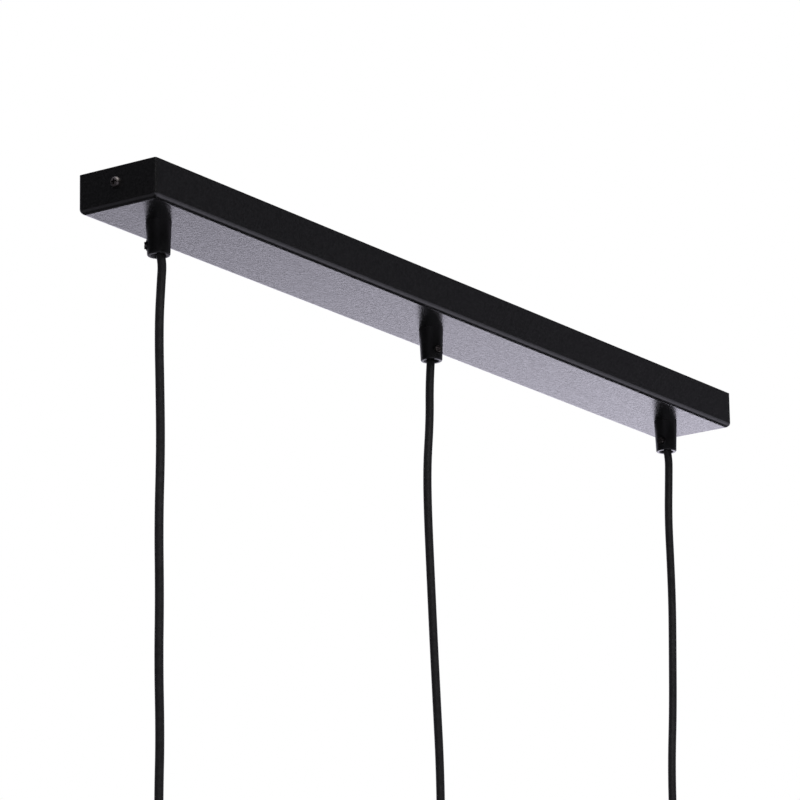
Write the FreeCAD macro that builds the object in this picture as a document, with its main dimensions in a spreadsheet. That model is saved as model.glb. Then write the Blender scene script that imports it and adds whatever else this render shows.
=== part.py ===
import FreeCAD, Part
import math
import os
import re

import Sketcher

# Linear pendant with three cord drops. X runs along the canopy, -Y is its front, Z is up.
# The origin is the centre of the ceiling plane, so every piece lies below z = 0.

doc = FreeCAD.newDocument("linear_pendant")
sheet = doc.addObject("Spreadsheet::Sheet", "Sizes")

# Driving dimensions in millimetres and degrees: name, value, what it is
SIZES = [
    ("canopy_length", 700, "canopy along X"),
    ("canopy_width", 62, "canopy along Y"),
    ("canopy_height", 26.5, "canopy along Z"),
    ("canopy_wall", 1.2, "steel sheet of the canopy"),
    ("bend_radius", 3.5, "outer radius of the canopy's lower bends"),
    ("corner_radius", 1.6, "outer radius of the canopy's upright corners"),
    ("fit_gap", 0.3, "gap between pieces that slip past each other"),
    ("thread_gap", 0.05, "radial gap drawn between a thread and its hole"),
    ("bracket_width", 30, "ceiling bracket along Y"),
    ("bracket_wall", 1.5, "steel strip of the bracket"),
    ("bracket_bend", 2, "outer radius of the bracket's bends"),
    ("ear_depth", 16, "bent ear of the bracket, from the ceiling down"),
    ("slot_spacing", 500, "ceiling screw slots, centre to centre"),
    ("slot_width", 5.2, "ceiling screw slot across"),
    ("slot_length", 16, "ceiling screw slot end to end"),
    ("supply_place", 165, "supply hole of the bracket from the middle"),
    ("supply_radius", 8, "supply hole of the bracket"),
    ("end_screw_depth", 10.6, "canopy screw below the ceiling"),
    ("end_screw_side", 0.8, "canopy screw off the centre line"),
    ("end_screw_radius", 2, "canopy screw, M4"),
    ("end_screw_length", 8, "canopy screw under its head"),
    ("end_head_radius", 3.5, "canopy screw head"),
    ("end_head_height", 2.8, "canopy screw head"),
    ("grip_inset", 43, "outer cord grips from the canopy's ends"),
    ("grip_height", 22.5, "cord grip below the canopy"),
    ("grip_top_radius", 8.4, "cord grip at the canopy"),
    ("grip_bottom_radius", 7.5, "cord grip at its mouth"),
    ("grip_edge", 0.7, "rounded edge of the cord grip's mouth"),
    ("grip_bore_radius", 3.8, "bore of the cord grip"),
    ("mouth_radius", 4, "widened bore above the mouth"),
    ("mouth_depth", 6, "widened bore above the mouth"),
    ("flare_radius", 5.4, "flared mouth at its rim"),
    ("flare_depth", 2, "flared mouth, and the place of the swing pivot"),
    ("neck_radius", 4.9, "threaded neck, M10 x 1"),
    ("neck_length", 9, "threaded neck above the canopy's underside"),
    ("washer_radius", 9.5, "washer on the neck"),
    ("washer_wall", 0.8, "washer on the neck"),
    ("nut_width", 14, "lock nut across its flats"),
    ("nut_height", 4, "lock nut"),
    ("set_screw_rise", 7, "set screw above the grip's mouth"),
    ("set_screw_radius", 1.5, "set screw, M3"),
    ("set_head_radius", 2.4, "set screw head"),
    ("set_head_height", 1, "set screw head"),
    ("boss_radius", 3.3, "boss round the set screw"),
    ("boss_reach", 8.1, "face of the boss from the grip's axis"),
    ("cord_radius", 2.9, "round two-core cord"),
    ("cord_clearance", 0.15, "gap between the cord and the bore it leans on"),
    ("core_radius", 1.1, "insulated core of the cord"),
    ("core_pitch", 2.5, "two cores of one cord, centre to centre"),
    ("sheath_rise", 1, "sheath above the grip's neck"),
    ("core_stand", 6.2, "cores straight up out of the sheath"),
    ("core_rise", 10.6, "top of the cores' first bend above the sheath"),
    ("core_step", 4.8, "top of the cores' first bend beside the sheath"),
    ("core_lead", 14, "where the cores start to spread, from the sheath"),
    ("core_spread", 32, "where the cores reach their lanes, from the sheath"),
    ("core_level", 3.2, "height of the cores' lanes above the sheath's end"),
    ("core_wave", 0.9, "slack waves of the cores in their lanes"),
    ("lane_inset", 14.5, "cores' lanes from the canopy's inner walls"),
    ("entry_reach", 3, "cores inside the terminal block"),
    ("block_place", 75, "terminal block from the middle"),
    ("block_length", 26, "terminal block along X"),
    ("block_width", 38, "terminal block along Y"),
    ("block_height", 14, "terminal block along Z"),
    ("block_end", 2, "block's wall beyond its barrels"),
    ("pole_pitch", 13, "terminal block poles"),
    ("entry_width", 6.4, "wire entry of a pole along Y"),
    ("entry_height", 3.6, "wire entry of a pole along Z"),
    ("insert_radius", 3.6, "brass barrel of a pole"),
    ("clamp_screw_radius", 1.5, "clamp screw of a pole, M3"),
    ("clamp_screw_place", 5, "clamp screws from the block's middle"),
    ("clamp_sink", 0.8, "clamp screws below the block's face"),
    ("clamp_gap", 0.5, "clamp screws from the middle of their wire entries"),
    ("small_head_height", 1.7, "heads of the small screws"),
    ("slot_cut", 0.7, "driver slots across"),
    ("slot_sink", 0.8, "driver slots deep"),
    ("fixing_radius", 1.2, "fixing screw of the block, M2.5"),
    ("fixing_head_radius", 1.9, "fixing screw of the block"),
    ("earth_screw_place", 34, "earth screw of the bracket from the middle"),
    ("earth_stud_place", 118, "earth stud of the canopy from the middle"),
    ("earth_radius", 2, "earth screw and earth stud, M4"),
    ("ring_radius", 4, "eye of a ring terminal"),
    ("ring_wall", 0.8, "ring terminal"),
    ("ring_tail", 8, "crimp tail of a ring terminal, from the middle of its eye"),
    ("earth_head_radius", 3.4, "earth screw head"),
    ("earth_head_height", 2.2, "earth screw head"),
    ("stud_length", 8, "earth stud above the canopy's floor"),
    ("stud_nut_width", 7, "nut of the earth stud across its flats"),
    ("stud_nut_height", 3.2, "nut of the earth stud"),
    ("holder_radius", 19.5, "threaded outside of the lampholder's shell"),
    ("shoulder_radius", 21.5, "shoulder of the shell, and its cap"),
    ("shoulder_height", 8, "shoulder of the shell"),
    ("shell_height", 36, "lampholder's threaded shell"),
    ("socket_radius", 13.3, "bore for an E27 cap"),
    ("chamber_height", 8, "room for the contacts above that bore"),
    ("chamber_radius", 14.4, "room for the contacts"),
    ("pocket_radius", 17.4, "seat of the insert in the shell"),
    ("pocket_depth", 6, "seat of the insert in the shell"),
    ("seat_gap", 0.1, "gap round a seated piece"),
    ("holder_edge", 0.7, "broken edges of the lampholder"),
    ("cap_height", 22, "lampholder's cap"),
    ("cap_wall", 2, "lampholder's cap"),
    ("cap_neck_radius", 8.5, "neck of the cap"),
    ("cap_neck_height", 6, "neck of the cap"),
    ("cap_straight", 8, "straight lower part of the cap"),
    ("sheath_entry", 4, "sheath inside the cap, below its neck"),
    ("cap_bore_radius", 3.1, "cord hole of the cap"),
    ("cap_round", 6, "rounded crown of the cap"),
    ("insert_core_radius", 12.8, "insert above its flange"),
    ("insert_core_height", 6, "insert above its flange"),
    ("terminal_place", 8, "lampholder's terminal screws from its middle"),
    ("terminal_pocket_width", 6, "recess of the insert for a terminal screw"),
    ("terminal_pocket_length", 12, "recess of the insert for a terminal screw"),
    ("terminal_pocket_rise", 1, "floor of that recess above the insert's flange"),
    ("terminal_pin_length", 2.8, "terminal screw under its head"),
    ("contact_wall", 0.5, "brass strip of the lamp contacts"),
    ("contact_width", 5, "brass strip of the lamp contacts"),
    ("contact_drop", 7.4, "side contact below the insert"),
    ("contact_foot", 6, "side contact against the insert"),
    ("tongue_reach", 9, "centre contact from the middle to its fixed end"),
    ("tongue_drop", 5, "centre contact below the insert"),
    ("collar_radius", 26, "shade ring outside"),
    ("collar_height", 7, "shade ring"),
    ("collar_wall", 2.5, "wall of the shade ring"),
    ("collar_flange", 2, "flange of the shade ring"),
    ("collar_gap", 1, "shade ring below the shell's shoulder"),
]
for row, (alias, number, meaning) in enumerate(SIZES, start=1):
    sheet.set(f"A{row}", alias)
    sheet.set(f"B{row}", str(number))
    sheet.set(f"C{row}", meaning)
    sheet.setAlias(f"B{row}", alias)
doc.recompute()

ALIASES = {alias for alias, number, meaning in SIZES}
DROPS = ("left", "middle", "right")
FULL_TURN = 360

# Where each grip's set screw points, in degrees from +X about Z
SCREW_BEARING = {"left": 125, "middle": -112, "right": 184}

# Route of each hanging cord, chosen by hand, from its swing pivot in the grip's mouth down
# into its lampholder
ROUTES = {
    "left": [
        (0, 0, 0), (1.7, 0, -18), (-0.8, 0.5, -50), (0.3, 1.0, -96), (1.4, 1.2, -131),
        (-1.2, 1.1, -178), (-0.6, 0.8, -225), (-2.1, 0.5, -268), (-0.6, 0.6, -315),
        (-1.5, 0.7, -353), (-1.5, 0.7, -380),
    ],
    "middle": [
        (0, 0, 0), (-1.8, 0.3, -17), (-2.3, 0.9, -45), (-5.5, 1.5, -78), (-5.5, 1.5, -111),
        (-4.5, 0.7, -158), (-3.6, 0.1, -203), (-1.1, -0.3, -243), (0.5, -0.7, -288),
        (0.5, -0.9, -338), (0.5, -0.9, -380),
    ],
    "right": [
        (0, 0, 0), (2.1, 0.2, -19), (-0.9, 0.4, -53), (0.9, 0.8, -85), (2.0, 1.2, -118),
        (0.8, 1.4, -153), (-0.8, 1.8, -198), (-4.7, 2.0, -238), (-5.6, 1.8, -278),
        (-6.4, 1.2, -328), (-6.2, 0.8, -358), (-6.2, 0.8, -380),
    ],
}

# Route of a core inside the lampholder, chosen by hand: across and back as shares of the
# terminal screw's place, and how much of its way down is left
HOLDER_CORE = [(0.45, 0.16, 0.7), (0.8, 0.36, 0.58), (0.97, 0.51, 0.37), (1, 0.54, 0.18)]

nodes = []


# ---------------------------------------------------------------- helpers

def bound(formula):
    """A formula of size names, written as an expression of the sheet."""
    def swap(word):
        return "Sizes." + word.group() if word.group() in ALIASES else word.group()
    return re.sub(r"[a-z_]+", swap, str(formula))


def size(formula):
    """The number that a formula of size names gives now."""
    result = sheet.evalExpression(bound(formula))
    return float(getattr(result, "Value", result))


def bind(thing, **formulas):
    """Bind properties of a document object to formulas of size names."""
    for name, formula in formulas.items():
        thing.setExpression(name, bound(formula))
    return thing


def place(thing, x=0, y=0, z=0, turn=None):
    """Put an object at formulas of size names, turned by an (axis, degrees) pair."""
    if turn is not None:
        thing.Placement = FreeCAD.Placement(FreeCAD.Vector(), FreeCAD.Rotation(*turn))
    for axis, formula in (("x", x), ("y", y), ("z", z)):
        thing.setExpression(f"Placement.Base.{axis}", bound(formula))
    return thing


def keep(thing, label):
    """Name an object as one of the finished pieces."""
    thing.Label = label
    nodes.append(thing)
    return thing


def box(name, length, width, height, x, y, z):
    """A block centred on x and y that stands on z."""
    thing = bind(doc.addObject("Part::Box", name), Length=length, Width=width, Height=height)
    return place(thing, f"({x}) - ({length}) / 2", f"({y}) - ({width}) / 2", z)


def cylinder(name, radius, height, x=0, y=0, z=0, turn=None):
    """A round bar that stands on x, y, z along its own axis."""
    thing = bind(doc.addObject("Part::Cylinder", name), Radius=radius, Height=height)
    return place(thing, x, y, z, turn)


def fuse(name, *things):
    """All the shapes as one solid."""
    thing = doc.addObject("Part::MultiFuse", name)
    thing.Shapes = list(things)
    thing.Refine = True
    return thing


def group(name, *things):
    """Separate solids that share one node."""
    thing = doc.addObject("Part::Compound", name)
    thing.Links = list(things)
    return thing


def cut(name, base, *tools):
    """The base without the tools."""
    thing = doc.addObject("Part::Cut", name)
    thing.Base = base
    thing.Tool = tools[0] if len(tools) == 1 else fuse(name + "_tools", *tools)
    thing.Refine = True
    return thing


def body_named(name):
    return doc.addObject("PartDesign::Body", name)


def sketch_in(body, role, name):
    """An empty sketch on one of the body's own origin planes."""
    sketch = body.newObject("Sketcher::SketchObject", name)
    plane = next(item for item in body.Origin.OriginFeatures if item.Role == role)
    sketch.AttachmentSupport = [(plane, "")]
    sketch.MapMode = "FlatFace"
    return sketch


def pin_point(sketch, line, end, across, up):
    """Hold one end of a sketch line at two formulas from the sketch's origin."""
    for kind, formula, axis in (("DistanceX", across, -2), ("DistanceY", up, -1)):
        if str(formula) == "0":
            sketch.addConstraint(Sketcher.Constraint("PointOnObject", line, end, axis))
            continue
        rule = Sketcher.Constraint(kind, -1, 1, line, end, size(formula))
        number = sketch.addConstraint(rule)
        sketch.setExpression(f"Constraints[{number}]", bound(formula))


def outline(sketch, corners):
    """A closed loop of straight lines through corners given as formulas."""
    points = [FreeCAD.Vector(size(across), size(up), 0) for across, up in corners]
    count = len(points)
    for index in range(count):
        sketch.addGeometry(Part.LineSegment(points[index], points[(index + 1) % count]), False)
    for index in range(count):
        joint = Sketcher.Constraint("Coincident", index, 2, (index + 1) % count, 1)
        sketch.addConstraint(joint)
    for index, (across, up) in enumerate(corners):
        pin_point(sketch, index, 1, across, up)
    return sketch


def ring_in(sketch, radius, across, up):
    """A circle in a sketch, its centre and radius bound to formulas."""
    centre = FreeCAD.Vector(size(across), size(up), 0)
    circle = sketch.addGeometry(Part.Circle(centre, FreeCAD.Vector(0, 0, 1), size(radius)), False)
    rule = sketch.addConstraint(Sketcher.Constraint("Radius", circle, size(radius)))
    sketch.setExpression(f"Constraints[{rule}]", bound(radius))
    pin_point(sketch, circle, 3, across, up)


def turned(name, corners):
    """A body turned about Z from a profile of (radius, height) corners."""
    body = body_named(name)
    sketch = outline(sketch_in(body, "XZ_Plane", name + "_profile"), corners)
    turning = body.newObject("PartDesign::Revolution", name + "_turning")
    turning.Profile = sketch
    turning.ReferenceAxis = (sketch, ["V_Axis"])
    turning.Angle = FULL_TURN
    doc.recompute()
    return body


def padded(name, role, corners, length):
    """A body whose profile is extruded equally to both sides of its plane."""
    body = body_named(name)
    sketch = outline(sketch_in(body, role, name + "_profile"), corners)
    pad = body.newObject("PartDesign::Pad", name + "_pad")
    pad.Profile = sketch
    pad.Midplane = True
    bind(pad, Length=length)
    doc.recompute()
    return body


def round_edges(body, name, radius, wanted):
    """Round the edges of a body's tip that the test picks."""
    tip = body.Tip
    picked = [f"Edge{i}" for i, edge in enumerate(tip.Shape.Edges, start=1) if wanted(edge)]
    if not picked:
        raise ValueError(f"{name}: no edge to round")
    fillet = body.newObject("PartDesign::Fillet", name)
    fillet.Base = (tip, picked)
    bind(fillet, Radius=radius)
    doc.recompute()
    return fillet


def near(first, second, slack=0.01):
    return abs(first - second) < slack


def route_edges(points, label=None):
    """Straight runs through the points, joined by the largest tangent arcs that they allow."""
    reach_share = 0.45
    runs = [(b - a).Length for a, b in zip(points, points[1:])]
    edges = []
    radii = []
    start = points[0]
    for index in range(1, len(points) - 1):
        back = (points[index - 1] - points[index]).normalize()
        ahead = (points[index + 1] - points[index]).normalize()
        turn = math.pi - back.getAngle(ahead)
        reach = reach_share * min(runs[index - 1], runs[index])
        radius = reach / math.tan(turn / 2)
        arc_start = points[index] + back * reach
        arc_end = points[index] + ahead * reach
        bisector = (back + ahead).normalize()
        middle = points[index] + bisector * (radius / math.cos(turn / 2) - radius)
        edges.append(Part.LineSegment(start, arc_start).toShape())
        edges.append(Part.Arc(arc_start, middle, arc_end).toShape())
        start = arc_end
        radii.append(radius)
    edges.append(Part.LineSegment(start, points[-1]).toShape())
    if label:
        print(label, "bend radii", [round(radius, 1) for radius in radii])
    return edges


def tube_shape(points, radius, label=None):
    """A round tube along the route, its volume compared with section times length."""
    points = [FreeCAD.Vector(*point) for point in points]
    wire = Part.Wire(route_edges(points, label))
    ring = Part.Wire(Part.makeCircle(radius, points[0], points[1] - points[0]))
    shape = wire.makePipeShell([ring], True, False)
    expected = math.pi * radius ** 2 * wire.Length
    if not near(shape.Volume / expected, 1):
        raise ValueError(f"{label}: volume {shape.Volume:.1f}, expected {expected:.1f}")
    return shape


def feature(name, shape):
    """A document object for a shape that follows a route."""
    thing = doc.addObject("Part::Feature", name)
    thing.Shape = shape
    return thing


# ---------------------------------------------------------------- places

UNDERSIDE = "-canopy_height"
CANOPY_FLOOR = "(canopy_wall - canopy_height)"
GRIP_MOUTH = "(-canopy_height - grip_height)"
PIVOT_Z = "(-canopy_height - grip_height + flare_depth)"
NECK_TOP = "(neck_length - canopy_height)"
CORD_SHIFT = "(grip_bore_radius - cord_radius - cord_clearance)"
GRIP_X = {"left": "(grip_inset - canopy_length / 2)", "middle": "0",
          "right": "(canopy_length / 2 - grip_inset)"}
BLOCK_BOTTOM = "(-bracket_wall - block_height)"
ENTRY_Z = "(-bracket_wall - block_height / 2)"
HOLDER_HEIGHT = "(shell_height + cap_height)"
THREAD_TOP = "(shell_height - pocket_depth - chamber_height)"
POLES = {"live": -1, "earth": 0, "neutral": 1}
UPRIGHT = FreeCAD.Vector(0, 0, 1)
ALONG_X = FreeCAD.Vector(1, 0, 0)
ALONG_Y = FreeCAD.Vector(0, 1, 0)
QUARTER = 90


def screw_direction(drop):
    """Unit vector from a grip's axis out along its set screw."""
    bearing = math.radians(SCREW_BEARING[drop])
    return FreeCAD.Vector(math.cos(bearing), math.sin(bearing), 0)


def cord_axis(drop):
    """Foot of the cord inside its grip: the set screw pushes it against the far wall."""
    return FreeCAD.Vector(size(GRIP_X[drop]), 0, 0) - screw_direction(drop) * size(CORD_SHIFT)


def route_of(drop):
    """Points of a hanging cord in the frame of the whole part."""
    pivot = cord_axis(drop) + UPRIGHT * size(PIVOT_Z)
    return [pivot + FreeCAD.Vector(*step) for step in ROUTES[drop]]


# ---------------------------------------------------------------- canopy and its screws

def make_canopy():
    """Folded sheet-steel box, open at the ceiling, with a hole for each grip and end screw."""
    body = body_named("canopy_body")
    half_length = "canopy_length / 2"
    half_width = "canopy_width / 2"
    corners = [
        (f"-{half_length}", f"-{half_width}"), (half_length, f"-{half_width}"),
        (half_length, half_width), (f"-{half_length}", half_width),
    ]
    sketch = outline(sketch_in(body, "XY_Plane", "canopy_plan"), corners)
    pad = body.newObject("PartDesign::Pad", "canopy_pad")
    pad.Profile = sketch
    bind(pad, Length="canopy_height")
    pad.Reversed = True
    doc.recompute()
    low = size(UNDERSIDE)
    round_edges(body, "canopy_corners", "corner_radius",
                lambda edge: near(abs(edge.tangentAt(edge.FirstParameter).z), 1))
    round_edges(body, "canopy_bends", "bend_radius",
                lambda edge: near(edge.BoundBox.ZMax, low))
    solid = body.Tip
    top = next(f"Face{i}" for i, face in enumerate(solid.Shape.Faces, start=1)
               if near(face.BoundBox.ZMin, 0))
    shell = body.newObject("PartDesign::Thickness", "canopy_shell")
    shell.Base = (solid, [top])
    bind(shell, Value="canopy_wall")
    shell.Reversed = True
    doc.recompute()
    holes = sketch_in(body, "XY_Plane", "grip_holes")
    for drop in DROPS:
        ring_in(holes, "neck_radius + fit_gap", GRIP_X[drop], "0")
    pocket = body.newObject("PartDesign::Pocket", "grip_pocket")
    pocket.Profile = holes
    pocket.Type = "ThroughAll"
    pocket.Midplane = True
    ends = sketch_in(body, "YZ_Plane", "end_holes")
    ring_in(ends, "end_screw_radius + fit_gap", "end_screw_side", "-end_screw_depth")
    end_pocket = body.newObject("PartDesign::Pocket", "end_pocket")
    end_pocket.Profile = ends
    end_pocket.Type = "ThroughAll"
    end_pocket.Midplane = True
    doc.recompute()
    keep(body, "canopy")


def make_bracket():
    """Steel strip screwed to the ceiling, its two ends bent down as tapped ears."""
    half = "(canopy_length / 2 - canopy_wall - fit_gap)"
    inner = f"({half} - bracket_wall)"
    corners = [
        (f"-{half}", "-ear_depth"), (f"-{inner}", "-ear_depth"),
        (f"-{inner}", "-bracket_wall"), (inner, "-bracket_wall"),
        (inner, "-ear_depth"), (half, "-ear_depth"), (half, "0"), (f"-{half}", "0"),
    ]
    strip = padded("bracket_strip", "XZ_Plane", corners, "bracket_width")
    reach = size(half)
    inner_reach = size(inner)
    wall = size("bracket_wall")

    def across(edge):
        return near(abs(edge.tangentAt(edge.FirstParameter).y), 1)

    round_edges(strip, "bracket_outer_bends", "bracket_bend",
                lambda edge: across(edge) and near(edge.BoundBox.ZMin, 0)
                and near(abs(edge.BoundBox.XMin), reach))
    round_edges(strip, "bracket_inner_bends", "bracket_bend - bracket_wall",
                lambda edge: across(edge) and near(edge.BoundBox.ZMin, -wall)
                and near(abs(edge.BoundBox.XMin), inner_reach))
    tools = []
    for side in (-1, 1):
        centre = f"{side} * slot_spacing / 2"
        tools.append(box(f"slot_{side + 1}", "slot_length - slot_width", "slot_width",
                         "bracket_wall * 4", centre, 0, "-bracket_wall * 2"))
        for end in (-1, 1):
            tools.append(cylinder(f"slot_end_{side + 1}_{end + 1}", "slot_width / 2",
                                  "bracket_wall * 4",
                                  f"{centre} + {end} * (slot_length - slot_width) / 2",
                                  0, "-bracket_wall * 2"))
    tools.append(cylinder("supply_cut", "supply_radius", "bracket_wall * 4",
                          "supply_place", 0, "-bracket_wall * 2"))
    tools.append(cylinder("ear_cut", "end_screw_radius + thread_gap", "canopy_length",
                          "-canopy_length / 2", "end_screw_side", "-end_screw_depth",
                          (ALONG_Y, QUARTER)))
    tools.append(cylinder("earth_cut", "earth_radius + thread_gap", "bracket_wall * 4",
                          "earth_screw_place", 0, "-bracket_wall * 2"))
    tools.append(cylinder("block_cut", "fixing_radius + thread_gap", "bracket_wall * 4",
                          "block_place", "pole_pitch / 2", "-bracket_wall * 2"))
    keep(cut("bracket_cut", strip, *tools), "ceiling_bracket")


def make_canopy_screws():
    """Pan-head cross-recess M4 screws through the canopy's ends into the bracket's ears."""
    screws = []
    for side, turn in ((-1, -QUARTER), (1, QUARTER)):
        tag = "left" if side < 0 else "right"
        head = turned(f"end_head_{tag}", [
            ("0", "0"), ("end_head_radius", "0"), ("end_head_radius", "end_head_height * 0.45"),
            ("end_head_radius * 0.86", "end_head_height * 0.8"),
            ("end_head_radius * 0.55", "end_head_height"), ("0", "end_head_height"),
        ])
        face = f"{side} * canopy_length / 2"
        place(head, face, "end_screw_side", "-end_screw_depth", (ALONG_Y, turn))
        shank = cylinder(f"end_shank_{tag}", "end_screw_radius", "end_screw_length",
                         face, "end_screw_side", "-end_screw_depth", (ALONG_Y, -turn))
        blank = fuse(f"end_blank_{tag}", head, shank)
        recess_depth = "end_head_height * 0.6"
        centre = f"{side} * (canopy_length / 2 + end_head_height - {recess_depth} / 2)"
        slots = [
            box(f"recess_a_{tag}", recess_depth, "end_head_radius * 1.1", "end_head_radius / 4",
                centre, "end_screw_side", "-end_screw_depth - end_head_radius / 8"),
            box(f"recess_b_{tag}", recess_depth, "end_head_radius / 4", "end_head_radius * 1.1",
                centre, "end_screw_side", "-end_screw_depth - end_head_radius * 0.55"),
        ]
        screws.append(cut(f"end_screw_{tag}", blank, *slots))
    keep(group("end_screws", *screws), "canopy_screws")


# ---------------------------------------------------------------- cord grips

def make_grip(drop):
    """Moulded conical grip with a threaded neck; its set screw clamps the cord."""
    body = turned(f"grip_turned_{drop}", [
        ("flare_radius", "0"),
        ("grip_bottom_radius - grip_edge", "0"),
        ("grip_bottom_radius - grip_edge / 3", "grip_edge / 3"),
        ("grip_bottom_radius", "grip_edge"),
        ("grip_top_radius", "grip_height"),
        ("neck_radius", "grip_height"),
        ("neck_radius", "grip_height + neck_length"),
        ("grip_bore_radius", "grip_height + neck_length"),
        ("grip_bore_radius", "mouth_depth"),
        ("mouth_radius", "mouth_depth"),
        ("mouth_radius", "flare_depth"),
    ])
    place(body, GRIP_X[drop], 0, GRIP_MOUTH)
    bearing = math.radians(SCREW_BEARING[drop])
    tilt = FreeCAD.Rotation(UPRIGHT, SCREW_BEARING[drop]) * FreeCAD.Rotation(ALONG_Y, QUARTER)
    height = f"{GRIP_MOUTH} + set_screw_rise"

    def radial(name, radius, start, length):
        """A round bar out from the grip's axis along its set screw."""
        x = f"{GRIP_X[drop]} + {math.cos(bearing):.6f} * ({start})"
        y = f"{math.sin(bearing):.6f} * ({start})"
        thing = bind(doc.addObject("Part::Cylinder", name), Radius=radius, Height=length)
        thing.Placement = FreeCAD.Placement(FreeCAD.Vector(), tilt)
        return place(thing, x, y, height)

    boss = radial(f"boss_{drop}", "boss_radius", "grip_bore_radius + fit_gap",
                  "boss_reach - grip_bore_radius - fit_gap")
    hole = radial(f"screw_hole_{drop}", "set_screw_radius + thread_gap", "0",
                  "boss_reach + fit_gap")
    solid = cut(f"grip_solid_{drop}", fuse(f"grip_blank_{drop}", body, boss), hole)
    keep(solid, f"grip_{drop}")
    tip = f"(cord_radius - {CORD_SHIFT} + cord_clearance)"
    shank = radial(f"set_shank_{drop}", "set_screw_radius", tip,
                   f"boss_reach + fit_gap / 3 - {tip}")
    head = radial(f"set_head_{drop}", "set_head_radius", "boss_reach + fit_gap / 3",
                  "set_head_height")
    slot_place = "boss_reach + fit_gap / 3 + set_head_height / 2"
    slot = bind(doc.addObject("Part::Box", f"set_slot_{drop}"), Length="set_head_radius / 3",
                Width="set_head_radius * 3", Height="set_head_height")
    slot.Placement = FreeCAD.Placement(FreeCAD.Vector(), tilt)
    place(slot,
          f"{GRIP_X[drop]} + {math.cos(bearing):.6f} * ({slot_place})"
          f" + {math.sin(bearing):.6f} * set_head_radius * 1.5",
          f"{math.sin(bearing):.6f} * ({slot_place})"
          f" - {math.cos(bearing):.6f} * set_head_radius * 1.5",
          f"{height} + set_head_radius / 6")
    screw = cut(f"set_screw_cut_{drop}", fuse(f"set_screw_blank_{drop}", shank, head), slot)
    keep(screw, f"set_screw_{drop}")


def make_neck_fixings():
    """Toothed washers and hexagon lock nuts that hold the three grips in the canopy."""
    washers = []
    nuts = []
    for drop in DROPS:
        x = GRIP_X[drop]
        disc = cylinder(f"washer_disc_{drop}", "washer_radius", "washer_wall", x, 0, CANOPY_FLOOR)
        bore = cylinder(f"washer_bore_{drop}", "neck_radius + fit_gap / 2", "washer_wall",
                        x, 0, CANOPY_FLOOR)
        washers.append(cut(f"washer_{drop}", disc, bore))
        level = f"{CANOPY_FLOOR} + washer_wall"
        hexagon = doc.addObject("Part::Prism", f"nut_hexagon_{drop}")
        hexagon.Polygon = 6
        bind(hexagon, Circumradius="nut_width / sqrt(3)", Height="nut_height")
        place(hexagon, x, 0, level)
        thread = cylinder(f"nut_bore_{drop}", "neck_radius + thread_gap", "nut_height", x, 0, level)
        nuts.append(cut(f"nut_{drop}", hexagon, thread))
    keep(group("washers", *washers), "grip_washers")
    keep(group("nuts", *nuts), "grip_nuts")


# ---------------------------------------------------------------- terminal block

def pole_y(pole):
    return f"({POLES[pole]} * pole_pitch)"


def make_terminal_block():
    """Moulded three-pole block with a brass barrel and two clamp screws to each pole."""
    blank = box("block_blank", "block_length", "block_width", "block_height",
                "block_place", 0, BLOCK_BOTTOM)
    tools = []
    barrels = []
    screws = []
    barrel_length = "(block_length - 2 * block_end)"
    for pole in POLES:
        y = pole_y(pole)
        room = cylinder(f"room_{pole}", "insert_radius + thread_gap", barrel_length,
                        f"block_place - {barrel_length} / 2", y, ENTRY_Z, (ALONG_Y, QUARTER))
        entry = box(f"entry_{pole}", "block_length * 1.1", "entry_width", "entry_height",
                    "block_place", y, f"{ENTRY_Z} - entry_height / 2")
        tools += [room, entry]
        barrel = cylinder(f"barrel_{pole}", "insert_radius", barrel_length,
                          f"block_place - {barrel_length} / 2", y, ENTRY_Z, (ALONG_Y, QUARTER))
        slit = box(f"slit_{pole}", "block_length", "entry_width - 2 * fit_gap", "entry_height",
                   "block_place", y, f"{ENTRY_Z} - entry_height / 2")
        wells = []
        for side in (-1, 1):
            x = f"block_place + {side} * clamp_screw_place"
            tag = f"{pole}_{side + 1}"
            tools.append(cylinder(f"well_{tag}", "clamp_screw_radius + 2 * fit_gap",
                                  "block_height / 2", x, y, BLOCK_BOTTOM))
            wells.append(cylinder(f"tap_{tag}", "clamp_screw_radius + thread_gap",
                                  "block_height / 2", x, y, BLOCK_BOTTOM))
            screw = cylinder(f"clamp_shank_{tag}", "clamp_screw_radius",
                             "block_height / 2 - clamp_sink - clamp_gap",
                             x, y, f"{BLOCK_BOTTOM} + clamp_sink")
            slot = box(f"clamp_slot_{tag}", "clamp_screw_radius * 3", "slot_cut", "slot_sink",
                       x, y, f"{BLOCK_BOTTOM} + clamp_sink")
            screws.append(cut(f"clamp_screw_{tag}", screw, slot))
        barrels.append(cut(f"insert_{pole}", barrel, slit, *wells))
    tools.append(cylinder("fixing_hole", "fixing_radius + fit_gap", "block_height",
                          "block_place", "pole_pitch / 2", BLOCK_BOTTOM))
    tools.append(cylinder("fixing_well", "fixing_head_radius + thread_gap * 4", "block_height / 2",
                          "block_place", "pole_pitch / 2", BLOCK_BOTTOM))
    keep(cut("block_cut_body", blank, *tools), "terminal_block")
    keep(group("inserts", *barrels), "terminal_inserts")
    keep(group("clamp_screws", *screws), "terminal_screws")
    head_z = f"{ENTRY_Z} - small_head_height"
    head = cylinder("fixing_head", "fixing_head_radius", "small_head_height",
                    "block_place", "pole_pitch / 2", head_z)
    shank = cylinder("fixing_shank", "fixing_radius", "block_height / 2 + bracket_wall",
                     "block_place", "pole_pitch / 2", ENTRY_Z)
    slot = box("fixing_slot", "fixing_head_radius * 3", "slot_cut", "slot_sink",
               "block_place", "pole_pitch / 2", head_z)
    keep(cut("fixing_cut", fuse("fixing_blank", head, shank), slot), "block_fixing_screw")


# ---------------------------------------------------------------- earthing

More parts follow.
